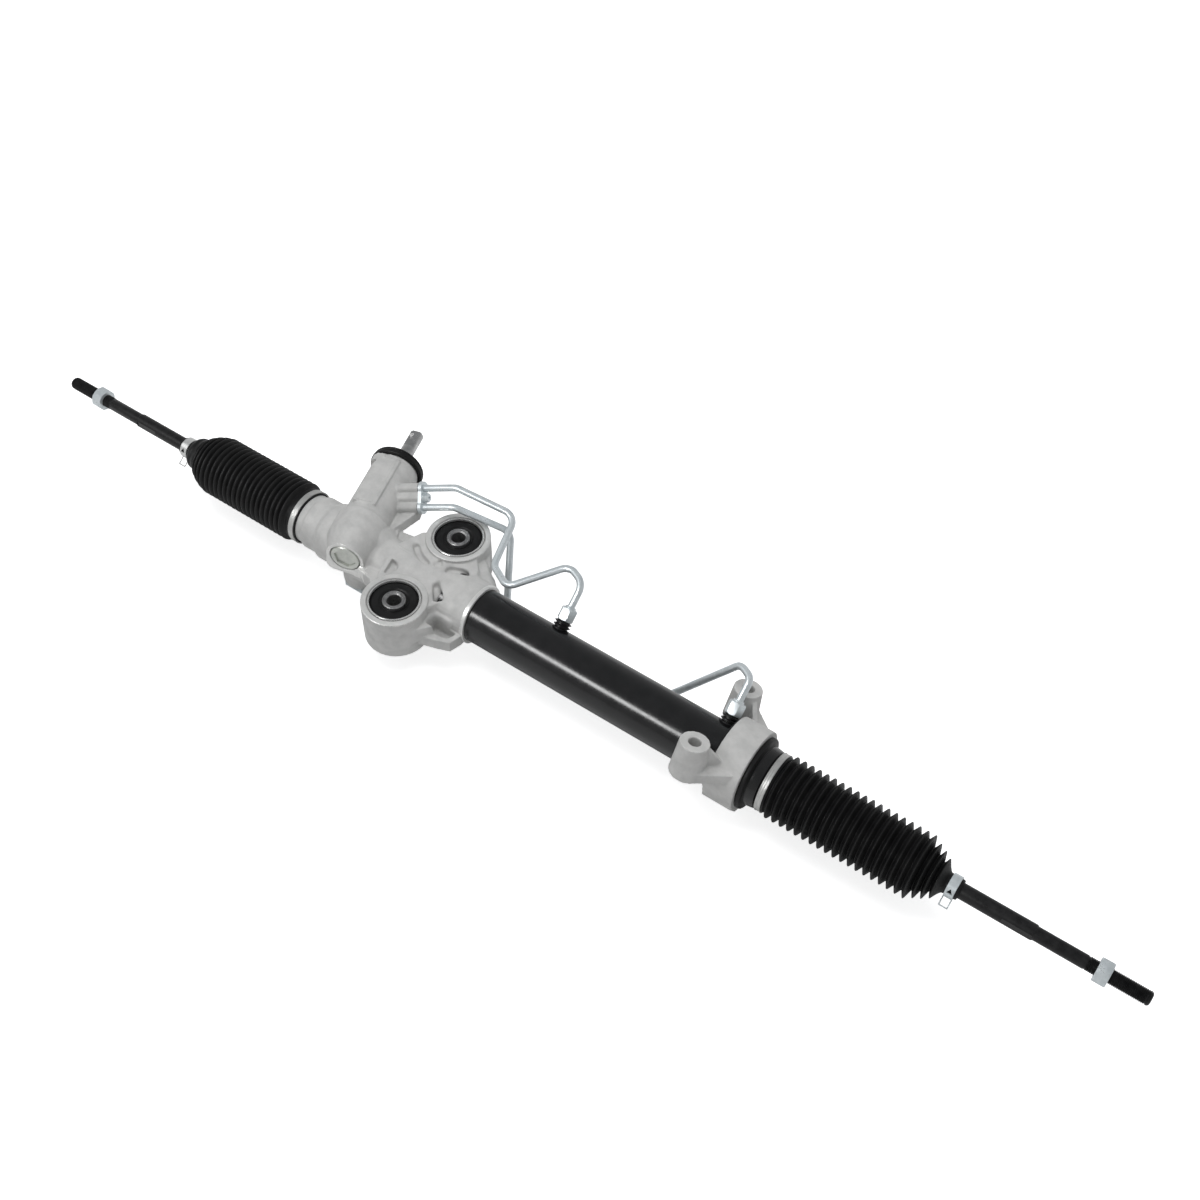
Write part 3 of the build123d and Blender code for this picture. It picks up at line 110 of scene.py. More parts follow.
def glow(tree, as_light, as_seen=1.0):
    """Strength of an emitter: one value for the camera and for glass, and another as light on the object."""
    path = tree.nodes.new("ShaderNodeLightPath")
    seen = tree.nodes.new("ShaderNodeMath")
    seen.operation = "MAXIMUM"
    tree.links.new(path.outputs["Is Camera Ray"], seen.inputs[0])
    tree.links.new(path.outputs["Is Transmission Ray"], seen.inputs[1])
    strength = tree.nodes.new("ShaderNodeMapRange")
    strength.inputs["To Min"].default_value = as_light
    strength.inputs["To Max"].default_value = as_seen
    tree.links.new(seen.outputs[0], strength.inputs["Value"])
    return strength, path


FLOOR_GAP = 0.4
FLOOR_SIZE = 14.0
FLOOR_CENTRE_X = 0.13
put_down()
floor_at = (FLOOR_CENTRE_X, 0, cad_box[0].z - FLOOR_GAP * MM)
bpy.ops.mesh.primitive_plane_add(size=FLOOR_SIZE, location=floor_at)
floor = bpy.context.object
floor.name = "floor"
floor_finish = bpy.data.materials.new("white_table")
floor_finish.use_nodes = True
tree = floor_finish.node_tree
shader = tree.nodes["Principled BSDF"]
shader.inputs["Base Color"].default_value = (0.86, 0.86, 0.86, 1)
shader.inputs["Roughness"].default_value = 0.9
shader.inputs["Specular IOR Level"].default_value = 0.1
shader.inputs["Emission Color"].default_value = (1, 1, 1, 1)
strength, _ = glow(tree, 0.0, 0.72)
tree.links.new(strength.outputs[0], shader.inputs["Emission Strength"])
floor.data.materials.append(floor_finish)

world = bpy.context.scene.world or bpy.data.worlds.new("world")
bpy.context.scene.world = world
world.use_nodes = True
tree = world.node_tree
tree.nodes.clear()
output = tree.nodes.new("ShaderNodeOutputWorld")
sky = tree.nodes.new("ShaderNodeBackground")
coords = tree.nodes.new("ShaderNodeTexCoord")
split = tree.nodes.new("ShaderNodeSeparateXYZ")
ramp = tree.nodes.new("ShaderNodeValToRGB")
ramp.color_ramp.elements[0].position = 0.02
ramp.color_ramp.elements[0].color = (0.62, 0.62, 0.62, 1)
ramp.color_ramp.elements[1].position = 0.75
ramp.color_ramp.elements[1].color = (0.42, 0.43, 0.44, 1)
white = tree.nodes.new("ShaderNodeMix")
white.data_type = "RGBA"
white.inputs[7].default_value = (1, 1, 1, 1)
strength, path = glow(tree, 0.8)
tree.links.new(coords.outputs["Generated"], split.inputs[0])
tree.links.new(split.outputs["Z"], ramp.inputs[0])
tree.links.new(ramp.outputs[0], white.inputs[6])
tree.links.new(path.outputs["Is Camera Ray"], white.inputs[0])
tree.links.new(white.outputs[2], sky.inputs["Color"])
tree.links.new(strength.outputs[0], sky.inputs["Strength"])
tree.links.new(sky.outputs[0], output.inputs[0])


def lamp(name, place, target, size, power):
    """Rectangular soft box that faces a point."""
    data = bpy.data.lights.new(name, "AREA")
    data.shape = "RECTANGLE"
    data.size, data.size_y = size
    data.energy = power
    body = bpy.data.objects.new(name, data)
    body.location = place
    body.rotation_euler = (Vector(target) - Vector(place)).to_track_quat("-Z", "Y").to_euler()
    bpy.context.scene.collection.objects.link(body)
    return body


top_lamp = lamp("soft_box_above", (0.0, 0.15, 2.5), (0.1, 0, 0), (2.0, 1.4), 36)
top_lamp.visible_glossy = False
lamp("soft_box_left", (-1.9, -1.1, 1.5), (0, 0, 0), (1.2, 1.2), 4)
strip = lamp("strip_lamp", (-0.66, -1.65, 1.46), (0.0, 0, 0), (0.95, 0.45), 24)
strip.visible_diffuse = False


# ---------------------------------------------------------------- gear housing
# Die-cast aluminium body, blasted to a pale even grey, with the mounting eyes, the bores and the plug's face
# machined bright afterwards. Every cast edge and corner is soft, and every machined one is crisp.
def effect(name, inputs, outputs):
    """Empty shader group with named sockets."""
    group = bpy.data.node_groups.new(name, "ShaderNodeTree")
    for label, kind, value in inputs:
        socket = group.interface.new_socket(label, in_out="INPUT", socket_type=kind)
        if value is not None:
            socket.default_value = value
    for label, kind in outputs:
        group.interface.new_socket(label, in_out="OUTPUT", socket_type=kind)
    return group, group.nodes.new("NodeGroupInput"), group.nodes.new("NodeGroupOutput")


def noise(tree, vector, scale, detail=3.0, roughness=0.5):
    """Noise of so many cells a metre, or of a linked number of them."""
    texture = tree.nodes.new("ShaderNodeTexNoise")
    texture.inputs["Detail"].default_value = detail
    texture.inputs["Roughness"].default_value = roughness
    tree.links.new(vector, texture.inputs["Vector"])
    if isinstance(scale, (int, float)):
        texture.inputs["Scale"].default_value = scale
    else:
        tree.links.new(scale, texture.inputs["Scale"])
    return texture.outputs["Fac"]


def spread(tree, value, low, high, out_low, out_high):
    """A value's band low..high stretched over out_low..out_high."""
    stretch = tree.nodes.new("ShaderNodeMapRange")
    tree.links.new(value, stretch.inputs["Value"])
    for label, number in (("From Min", low), ("From Max", high), ("To Min", out_low), ("To Max", out_high)):
        if isinstance(number, (int, float)):
            stretch.inputs[label].default_value = number
        else:
            tree.links.new(number, stretch.inputs[label])
    return stretch.outputs[0]


SURFACE_INPUTS = (
    ("Vector", "NodeSocketVector", None),
    ("Colour", "NodeSocketColor", (0.5, 0.5, 0.5, 1)),
    ("Shade", "NodeSocketColor", (0.4, 0.4, 0.4, 1)),
    ("Patches", "NodeSocketFloat", 60.0),
    ("Grain", "NodeSocketFloat", 1500.0),
    ("Smooth", "NodeSocketFloat", 0.3),
    ("Rough", "NodeSocketFloat", 0.5),
)
SURFACE_OUTPUTS = (
    ("Color", "NodeSocketColor"),
    ("Roughness", "NodeSocketFloat"),
    ("Height", "NodeSocketFloat"),
)
skin_effect, given, made = effect("skin", SURFACE_INPUTS, SURFACE_OUTPUTS)
patches = noise(skin_effect, given.outputs["Vector"], given.outputs["Patches"], 4.0, 0.62)
grain = noise(skin_effect, given.outputs["Vector"], given.outputs["Grain"], 2.0, 0.6)
tint = skin_effect.nodes.new("ShaderNodeMix")
tint.data_type = "RGBA"
skin_effect.links.new(spread(skin_effect, patches, 0.38, 0.66, 0.0, 1.0), tint.inputs[0])
skin_effect.links.new(given.outputs["Colour"], tint.inputs[6])
skin_effect.links.new(given.outputs["Shade"], tint.inputs[7])
blotch = skin_effect.nodes.new("ShaderNodeMath")
blotch.operation = "MULTIPLY_ADD"
blotch.inputs[1].default_value = 0.5
skin_effect.links.new(patches, blotch.inputs[0])
halved = skin_effect.nodes.new("ShaderNodeMath")
halved.operation = "MULTIPLY"
halved.inputs[1].default_value = 0.5
skin_effect.links.new(grain, halved.inputs[0])
skin_effect.links.new(halved.outputs[0], blotch.inputs[2])
skin_effect.links.new(tint.outputs[2], made.inputs["Color"])
skin_effect.links.new(
    spread(skin_effect, blotch.outputs[0], 0.35, 0.65, given.outputs["Smooth"], given.outputs["Rough"]),
    made.inputs["Roughness"],
)
skin_effect.links.new(grain, made.inputs["Height"])


def finish(name, colour, shade, metallic, smooth, rough, patches, grain, depth, **sockets):
    """Material whose surface comes from the skin effect. Depth is the grain's height in millimetres."""
    material = bpy.data.materials.new(name)
    material.use_nodes = True
    tree = material.node_tree
    shader = tree.nodes["Principled BSDF"]
    shader.inputs["Metallic"].default_value = metallic
    for label, value in sockets.items():
        shader.inputs[label.replace("_", " ")].default_value = value
    coords = tree.nodes.new("ShaderNodeTexCoord")
    skin = tree.nodes.new("ShaderNodeGroup")
    skin.node_tree = skin_effect
    skin.inputs["Colour"].default_value = (*colour, 1)
    skin.inputs["Shade"].default_value = (*shade, 1)
    for label, value in (("Patches", patches), ("Grain", grain), ("Smooth", smooth), ("Rough", rough)):
        skin.inputs[label].default_value = value
    bump = tree.nodes.new("ShaderNodeBump")
    bump.inputs["Distance"].default_value = depth * MM
    tree.links.new(coords.outputs["Object"], skin.inputs["Vector"])
    tree.links.new(skin.outputs["Color"], shader.inputs["Base Color"])
    tree.links.new(skin.outputs["Roughness"], shader.inputs["Roughness"])
    tree.links.new(skin.outputs["Height"], bump.inputs["Height"])
    tree.links.new(bump.outputs["Normal"], shader.inputs["Normal"])
    return material


cast_aluminium = finish(
    "cast_aluminium", (0.59, 0.587, 0.576), (0.50, 0.50, 0.491), 0.13, 0.52, 0.72, 70.0, 1500.0, 0.09,
    Specular_IOR_Level=0.35,
)
machined_aluminium = finish(
    "machined_aluminium", (0.78, 0.775, 0.76), (0.69, 0.69, 0.675), 0.5, 0.28, 0.42, 90.0, 2600.0, 0.02
)


def coat(piece, *materials):
    """The piece's material slots, in order."""
    piece.data.materials.clear()
    for material in materials:
        piece.data.materials.append(material)
    return piece


def shape(piece, kind, **settings):
    """Puts a modifier on a piece and applies it."""
    pick_up(piece)
    modifier = piece.modifiers.new(kind.lower(), kind)
    for label, value in settings.items():
        setattr(modifier, label, value)
    bpy.ops.object.modifier_apply(modifier=modifier.name)
    return piece


def soften(piece, angle=40.0):
    """Smooth shading that keeps the edges sharper than an angle."""
    pick_up(piece)
    bpy.ops.object.shade_smooth_by_angle(angle=radians(angle))
    return piece


def stands_for(piece, body, slot, *replaced):
    """A finished piece: its body, its slot in the record, which is not used, and the CAD nodes that it
    replaces.
    """
    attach(piece, body)
    if replaced:
        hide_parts(*replaced)
    return piece


CAST_VOXEL = 0.9
CAST_PASSES = 3


def casting(node_name, name, ratio):
    """Copy of a cast node with all its edges rounded, as they come out of the die."""
    piece = bpy.data.objects.new(name, nodes[node_name].data.copy())
    bpy.context.scene.collection.objects.link(piece)
    pick_up(piece)
    bpy.ops.object.mode_set(mode="EDIT")
    bpy.ops.mesh.select_all(action="SELECT")
    bpy.ops.mesh.remove_doubles(threshold=1e-6)
    bpy.ops.mesh.normals_make_consistent(inside=False)
    put_down()
    shape(piece, "REMESH", mode="VOXEL", voxel_size=CAST_VOXEL * MM)
    shape(piece, "SMOOTH", factor=0.5, iterations=CAST_PASSES)
    shape(piece, "DECIMATE", ratio=ratio)
    return soften(piece, 60.0)


EYE_Y = 50.5
EYE_TOP = 27.0
EYE_R = 33.0
COLLAR_END = 67.0
LEAN = radians(16.63)
PINION_AT = Vector((-88.7, 0, 18.5))
pinion_out = Vector((-sin(LEAN), cos(LEAN), 0))
PLUG_FACE = -35.0
PLUG_BOSS_R = 26.0
EYE_FACING = 0.5
COLLAR_FACING = 0.6
PLUG_FACING = 0.35
POCKET_LOW = 6.0
POCKET_LEFT = -34.0
POCKET_RIGHT = 62.0
POCKET_REACH = 46.0
POCKET_MARGIN = 1.2
POCKET_SMOOTHING = 22


def from_eye(place):
    """Distance from the axis of the nearer eye."""
    return min(hypot(place.x, place.y - side * EYE_Y) for side in (1, -1))


def in_pockets(place):
    """Whether a point lies on the table between the eyes, where the pockets are."""
    beside = POCKET_LEFT < place.x < POCKET_RIGHT and abs(place.y) < POCKET_REACH
    return beside and place.z > POCKET_LOW and from_eye(place) > EYE_R + POCKET_MARGIN


housing_casting = casting("gear_housing", "housing_casting", 0.35)
coat(housing_casting, cast_aluminium, machined_aluminium)
for corner in housing_casting.data.vertices:
    place = corner.co / MM
    if from_eye(place) < EYE_R + EYE_FACING and place.z > EYE_TOP - EYE_FACING:
        corner.co.z = (EYE_TOP - EYE_FACING) * MM
    if place.x > COLLAR_END - COLLAR_FACING:
        corner.co.x = (COLLAR_END - COLLAR_FACING) * MM
for face in housing_casting.data.polygons:
    from_plug = face.center / MM - PINION_AT - pinion_out * PLUG_FACE
    if from_plug.dot(pinion_out) < PLUG_FACING and from_plug.length < PLUG_BOSS_R:
        face.material_index = 1
pick_up(housing_casting)
bpy.ops.object.mode_set(mode="EDIT")
bpy.ops.mesh.select_all(action="DESELECT")
bpy.ops.object.mode_set(mode="OBJECT")
for corner in housing_casting.data.vertices:
    corner.select = in_pockets(corner.co / MM)
bpy.ops.object.mode_set(mode="EDIT")
bpy.ops.mesh.select_mode(type="VERT")
bpy.ops.mesh.vertices_smooth(factor=0.5, repeat=POCKET_SMOOTHING)
put_down()
stands_for(housing_casting, "housing", "cast", "gear_housing")


# ---------------------------------------------------------------- saddle bracket
# The same cast aluminium, clamped round the tube's rubber ring. Its two bolt bosses are faced flat and
# drilled for the frame bolts.
BOLT_X = 336.2
BOLT_TOP = 42.2
BOLT_LEAN = radians(16.0)
BOSS_REACH = 15.0
BOSS_FACING = 0.35
bolt_out = Vector((0, sin(BOLT_LEAN), cos(BOLT_LEAN)))
bracket_casting = casting("saddle_bracket", "bracket_casting", 0.5)
coat(bracket_casting, cast_aluminium, machined_aluminium)
for face in bracket_casting.data.polygons:
    centre = face.center / MM
    if centre.dot(bolt_out) > BOLT_TOP - BOSS_FACING and centre.x < BOLT_X + BOSS_REACH:
        face.material_index = 1
stands_for(bracket_casting, "housing", "cast", "saddle_bracket")


# ---------------------------------------------------------------- cylinder tube
# Drawn steel tube in gloss black enamel, pressed into the housing at one end, with a black rubber ring and a
# turned neck at the other.
gloss_black = finish(
    "gloss_black", (0.004, 0.0042, 0.0045), (0.008, 0.008, 0.0085), 0.0, 0.17, 0.25, 60.0, 320.0, 0.010,
    Specular_IOR_Level=0.5,
)
black_rubber = finish(
    "black_rubber", (0.006, 0.006, 0.0062), (0.011, 0.011, 0.011), 0.0, 0.38, 0.55, 70.0, 1700.0, 0.05,
    Specular_IOR_Level=0.25,
)


def rounded(corners, radius, steps=3):
    """Open outline of (along, radius) points with its corners rounded off."""
    points = [tuple(corners[0])]
    for before, corner, after in zip(corners, corners[1:], corners[2:]):
        corner = Vector(corner)
        leg_in = Vector(before) - corner
        leg_out = Vector(after) - corner
        start = corner + leg_in.normalized() * min(radius, leg_in.length * 0.45)
        finish_at = corner + leg_out.normalized() * min(radius, leg_out.length * 0.45)
        for step in range(steps + 1):
            t = step / steps
            points.append(tuple(start * (1 - t) ** 2 + corner * 2 * t * (1 - t) + finish_at * t * t))
    points.append(tuple(corners[-1]))
    return points


def facing(origin, out, side):
    """Frame in millimetres whose X runs along out and whose Y runs along side."""
    out, side = Vector(out).normalized(), Vector(side).normalized()
    turn = Matrix((out, side, out.cross(side))).transposed().to_4x4()
    return Matrix.Translation(Vector(origin) * MM) @ turn


def settle(piece):
    """Applies a piece's place and turn, so that its object stands unturned at the origin."""
    pick_up(piece)
    bpy.ops.object.transform_apply(location=True, rotation=True, scale=True)
    return piece


ALONG_RACK = facing((0, 0, 0), (1, 0, 0), (0, 1, 0))


def turned(name, outline, material, place=ALONG_RACK, steps=64, closed=False):
    """Round piece about its frame's X, from a half outline of (along, radius) points in millimetres."""
    put_down()
    first = Vector((outline[0][0], 0, outline[0][1])) * MM
    bpy.ops.mesh.primitive_plane_add(size=2 * MM, location=first)
    piece = bpy.context.object
    piece.name = name
    bpy.ops.object.mode_set(mode="EDIT")
    bpy.ops.mesh.select_all(action="SELECT")
    bpy.ops.mesh.merge(type="CENTER")
    path = list(outline) + ([outline[0]] if closed else [])
    for here, there in zip(path, path[1:]):
        move = ((there[0] - here[0]) * MM, 0, (there[1] - here[1]) * MM)
        bpy.ops.mesh.extrude_vertices_move(TRANSFORM_OT_translate={"value": move})
    bpy.ops.mesh.select_all(action="SELECT")
    bpy.ops.mesh.spin(steps=steps, angle=2 * pi, center=(0, 0, 0), axis=(1, 0, 0))
    bpy.ops.mesh.select_all(action="SELECT")
    bpy.ops.mesh.remove_doubles(threshold=1e-6)
    bpy.ops.mesh.normals_make_consistent(inside=False)
    settle(piece)
    piece.matrix_world = place
    settle(piece)
    coat(piece, material)
    return soften(piece)


TUBE_R = 28.0
TUBE_START = 30.0
TUBE_END = 382.0
TUBE_BORE_R = 25.0
tube = turned(
    "tube_wall",
    [(TUBE_START, TUBE_BORE_R), (TUBE_START, TUBE_R), (COLLAR_END + 0.5, TUBE_R), (TUBE_END, TUBE_R),
     (TUBE_END, TUBE_BORE_R)],
    gloss_black,
    steps=128,
    closed=True,
)
stands_for(tube, "housing", "gloss_black", "cylinder_tube")

SADDLE_END = 381.7
ring = turned(
    "saddle_ring",
    rounded(
        [(348.0, 29.0), (348.0, 36.3), (352.0, 36.3), (352.0, 33.2), (SADDLE_END - 0.5, 33.2),
         (SADDLE_END + 0.2, 36.4), (385.6, 36.4), (386.6, 35.6), (387.2, 31.5), (388.2, 30.6), (388.2, 29.0)],
        0.9,
    ),
    black_rubber,
    steps=96,
)
stands_for(ring, "housing", "rubber", "saddle_rubber")
neck = turned(
    "neck_wall",
    rounded(
        [(386.0, 22.0), (386.0, 30.4), (390.0, 30.2), (397.0, 29.2), (397.6, 27.6), (405.0, 26.4),
         (406.4, 22.0)],
        0.8,
    ),
    gloss_black,
    steps=96,
)
stands_for(neck, "housing", "black_steel", "tube_neck")


# ---------------------------------------------------------------- frame bushings
# Steel shell pressed into each eye, black rubber bonded inside it with a raised lip, and a thick steel sleeve
# with a grooved top end that the frame bolt clamps.
EYE_BOTTOM = -22.0
SLEEVE_R = 11.6
ground_steel = finish(
    "ground_steel", (0.56, 0.56, 0.555), (0.40, 0.40, 0.40), 1.0, 0.22, 0.40, 120.0, 2600.0, 0.02
)
bright_steel = finish(
    "bright_steel", (0.80, 0.80, 0.79), (0.68, 0.68, 0.67), 0.7, 0.16, 0.32, 160.0, 3000.0, 0.015
)
sleeve_steel = finish(
    "sleeve_steel", (0.40, 0.40, 0.40), (0.24, 0.24, 0.24), 0.85, 0.28, 0.48, 220.0, 2600.0, 0.05
)
shells, rubbers, sleeves, rims = [], [], [], []
for side in (1, -1):
    eye = facing((0, side * EYE_Y, 0), (0, 0, 1), (1, 0, 0))
    label = "rear" if side == 1 else "front"
    shells.append(
        turned(
            f"{label}_shell",
            [(EYE_BOTTOM, 27.1), (24.2, 27.1), (24.6, 26.0), (26.6, 26.0), (26.9, 25.7), (26.9, 25.5),
             (26.5, 25.3), (26.5, 25.0), (26.9, 24.8), (26.9, 24.6), (26.4, 24.3), (24.0, 24.3), (23.0, 25.5),
             (EYE_BOTTOM, 25.5)],
            bright_steel,
            eye,
            96,
            closed=True,
        )
    )
    rubbers.append(
        turned(
            f"{label}_rubber",
            rounded(
                [(EYE_BOTTOM + 3, SLEEVE_R), (EYE_BOTTOM + 3, 25.4), (23.4, 25.4), (23.0, 24.0), (23.8, 22.8),
                 (24.8, 22.0), (25.0, 16.0), (23.6, 14.4), (23.2, SLEEVE_R)],
                0.6,
            ),
            black_rubber,
            eye,
            96,
        )
    )
    sleeves.append(
        turned(
            f"{label}_sleeve",
            [(EYE_BOTTOM, 7.1), (EYE_BOTTOM, SLEEVE_R), (26.2, SLEEVE_R), (EYE_TOP, 10.9), (EYE_TOP, 10.3),
             (26.6, 10.0), (26.6, 9.6), (EYE_TOP, 9.3), (EYE_TOP, 8.3), (25.6, 7.1)],
            sleeve_steel,
            eye,
            64,
            closed=True,
        )
    )
    rims.append(
        turned(
            f"{label}_rim",
            [(25.0, 27.2), (26.4, 27.2), (EYE_TOP, 27.7), (EYE_TOP, 32.3), (26.6, 32.8), (25.0, EYE_R)],
            machined_aluminium,
            eye,
            96,
            closed=True,
        )
    )


def joined(name, pieces):
    """Several pieces as one object."""
    pick_up(pieces[0])
    for piece in pieces:
        piece.select_set(True)
    bpy.ops.object.join()
    pieces[0].name = name
    return pieces[0]


rims.append(
    turned(
        "collar_rim",
        [(63.0, 28.1), (66.7, 28.1), (COLLAR_END, 28.4), (COLLAR_END, 30.8), (66.3, 31.5), (63.0, 31.5)],
        machined_aluminium,
        steps=96,
        closed=True,
    )
)
stands_for(joined("machined_rims", rims), "housing", "cast")
stands_for(joined("eye_shells", shells), "housing", "steel", "bushing_shells")
stands_for(joined("eye_rubbers", rubbers), "housing", "rubber", "bushing_rubbers")
stands_for(joined("eye_sleeves", sleeves), "housing", "steel", "bushing_sleeves")


# ---------------------------------------------------------------- hydraulic fittings and lines
# Zinc-plated steel pipe, bent cold, with a union nut on a black threaded boss at each end of the tube.
# A plate and one flange screw hold the other ends in the port block, each on its rubber seal.
zinc = finish(
    "zinc_plate", (0.76, 0.81, 0.83), (0.63, 0.68, 0.70), 0.6, 0.25, 0.42, 120.0, 1500.0, 0.03
)
black_steel = finish(
    "black_phosphate", (0.006, 0.006, 0.0064), (0.014, 0.014, 0.0145), 0.0, 0.24, 0.42, 150.0, 1900.0, 0.05,
    Specular_IOR_Level=0.3,
)
FITTINGS = ((148.0, 50.0), (338.5, 50.0))
NUT_START = 36.0
NUT_LENGTH = 13.0
BOSS_ROOT_R = 6.6
BOSS_CREST_R = 8.9
BOSS_PITCH = 3.6


def hexagon_nut(name, start, length, across, bore, chamfer, material, place):
    """Hexagon nut along its frame's X, with its corners turned off at both ends."""
    put_down()
    corner = across / sqrt(3)
    bpy.ops.mesh.primitive_cylinder_add(
        vertices=6, radius=corner * MM, depth=length * MM, rotation=(0, pi / 2, 0)
    )
    nut = bpy.context.object
    nut.name = name
    nut.location.x = (start + length / 2) * MM
    settle(nut)
    crown = turned(
        "crown",
        [(start, bore), (start, across / 2 - 0.2), (start + chamfer, corner + 0.05),
         (start + length - chamfer, corner + 0.05), (start + length, across / 2 - 0.2),
         (start + length, bore)],
        material,
        closed=True,
    )
    shape(nut, "BOOLEAN", object=crown, operation="INTERSECT", solver="EXACT")
    bpy.data.objects.remove(crown)
    shape(nut, "BEVEL", width=0.25 * MM, segments=2, limit_method="ANGLE", angle_limit=radians(25))
    nut.matrix_world = place
    settle(nut)
    coat(nut, material)
    return soften(nut, 30.0)


bosses, nuts = [], []
for count, (at, lean) in enumerate(FITTINGS):
    out = (0, sin(radians(lean)), cos(radians(lean)))
    union = facing((at, 0, 0), out, (1, 0, 0))
    thread = [(26.0, 4.0), (26.0, 8.6), (27.6, 8.4), (28.4, BOSS_ROOT_R)]
    for crest in range(2):
        foot = 28.8 + crest * BOSS_PITCH
        thread += [(foot, BOSS_ROOT_R), (foot + 1.1, BOSS_CREST_R), (foot + 1.7, BOSS_CREST_R)]
        thread.append((foot + 2.8, BOSS_ROOT_R))
    thread += [(NUT_START, BOSS_ROOT_R), (NUT_START, 4.0)]
    bosses.append(turned(f"boss_{count}", thread, black_steel, union, 48))
    nuts.append(hexagon_nut(f"nut_{count}", NUT_START, NUT_LENGTH, 15.0, 3.6, 1.3, zinc, union))
    nut_end = NUT_START + NUT_LENGTH
    collar = rounded([(nut_end - 1, 3.6), (nut_end - 1, 5.6), (nut_end + 2, 5.3), (nut_end + 2, 3.6)], 0.5)
    nuts.append(turned(f"nut_collar_{count}", collar, zinc, union, 48))
stands_for(joined("threaded_bosses", bosses), "housing", "black_steel", "port_bosses")
stands_for(joined("union_nuts", nuts), "housing", "zinc", "line_nuts")

PORT_TILT = radians(20.0)
across_pinion = Vector((cos(LEAN), sin(LEAN), 0))
port_out = across_pinion * cos(PORT_TILT) + Vector((0, 0, sin(PORT_TILT)))
PORT_ALONG = 53.0
PORT_FACE = 50.0
PLATE = 4.0
port_frame = facing(PINION_AT + pinion_out * PORT_ALONG, port_out, pinion_out)
PLATE_FACE = PORT_FACE + PLATE
screw_parts = [
    turned(
        "screw_flange",
        rounded(
            [(PLATE_FACE, 0.1), (PLATE_FACE, 5.4), (PLATE_FACE + 0.8, 5.4), (PLATE_FACE + 1.6, 4.4),
             (PLATE_FACE + 1.6, 0.1)],
            0.3,
        ),
        zinc,
        port_frame,
        48,
    ),
    hexagon_nut("screw_head", PLATE_FACE + 1, 5.0, 8.5, 1.6, 0.8, zinc, port_frame),
    turned(
        "screw_core",
        [(PORT_FACE - 12, 0.02), (PORT_FACE - 12, 3.0), (PLATE_FACE, 3.0), (PLATE_FACE + 4.6, 1.7),
         (PLATE_FACE + 4.6, 0.02)],
        zinc,
        port_frame,
        32,
    ),
]
stands_for(joined("plate_screw", screw_parts), "housing", "zinc", "port_screw")
port_up = Vector((0, 0, cos(PORT_TILT))) - across_pinion * sin(PORT_TILT)
PIPE_ALONG = 7.35
PIPE_UP = 6.5
SEAL_R = 6.3
SEAL_BORE_R = 5.0
SEAL_BACK = PORT_FACE - 1.2
SEAL_FRONT = PORT_FACE - 0.05
seals = []
for hand in (1, -1):
    pipe_at = PINION_AT + pinion_out * (PORT_ALONG + hand * PIPE_ALONG) + port_up * (hand * PIPE_UP)
    seals.append(
        turned(
            f"seal_{hand}",
            rounded(
                [(SEAL_BACK, SEAL_BORE_R), (SEAL_BACK, SEAL_R), (SEAL_FRONT, SEAL_R),
                 (SEAL_FRONT, SEAL_BORE_R)],
                0.5,
            ),
            black_rubber,
            facing(pipe_at, port_out, pinion_out),
            48,
        )
    )
stands_for(joined("port_seals", seals), "housing", "rubber")


# ---------------------------------------------------------------- pinion tower
# A ground input shaft with a flat and a pinch-bolt notch, a rubber dust ring round the tower's mouth, a cast
# bead along the edge of the flat pad, and the screwed plug at the tower's foot.
INPUT_END = 153.0
PAD_HEIGHT = Vector((0, 0, 25.6))
BEAD_R = 0.85
bead_run = [(89.0, 7.5), (28.0, 7.5), (25.6, 6.6), (24.4, 4.6), (24.2, 2.0), (24.2, -11.0)]
bead_points = [PINION_AT + pinion_out * up + across_pinion * right + PAD_HEIGHT for up, right in bead_run]
put_down()
bpy.ops.mesh.primitive_plane_add(size=2 * MM, location=bead_points[0] * MM)
bead = bpy.context.object
bead.name = "pad_bead"
bpy.ops.object.mode_set(mode="EDIT")
bpy.ops.mesh.select_all(action="SELECT")
bpy.ops.mesh.merge(type="CENTER")
for here, there in zip(bead_points, bead_points[1:]):
    bpy.ops.mesh.extrude_vertices_move(TRANSFORM_OT_translate={"value": (there - here) * MM})
pick_up(bead)
bpy.ops.object.convert(target="CURVE")
bead.data.bevel_depth = BEAD_R * MM
bead.data.bevel_resolution = 3
bead.data.use_fill_caps = True
bpy.ops.object.convert(target="MESH")
settle(bead)
coat(bead, cast_aluminium)
soften(bead, 60.0)
stands_for(bead, "housing", "cast")
tower_frame = facing(PINION_AT, pinion_out, (0, 0, 1))
dust_ring = turned(
    "dust_lip",
    rounded(
        [(94.0, 25.2), (94.0, 28.0), (95.0, 29.0), (98.6, 29.0), (99.4, 27.6), (100.0, 28.6), (101.8, 28.4),
         (103.0, 26.2), (103.0, 12.0), (101.0, 8.0)],
        0.5,
    ),
    black_rubber,
    tower_frame,
    96,
)
stands_for(dust_ring, "housing", "rubber", "dust_ring")
SHAFT_R = 7.5
SPOOL_R = 10.9
shaft = turned(
    "input_stub",
    [(31.0, 0.05), (31.0, SPOOL_R), (81.0, SPOOL_R), (82.0, SHAFT_R), (INPUT_END - 1.2, SHAFT_R),
     (INPUT_END, 6.5), (INPUT_END, 0.05)],
    ground_steel,
    tower_frame,
    64,
)


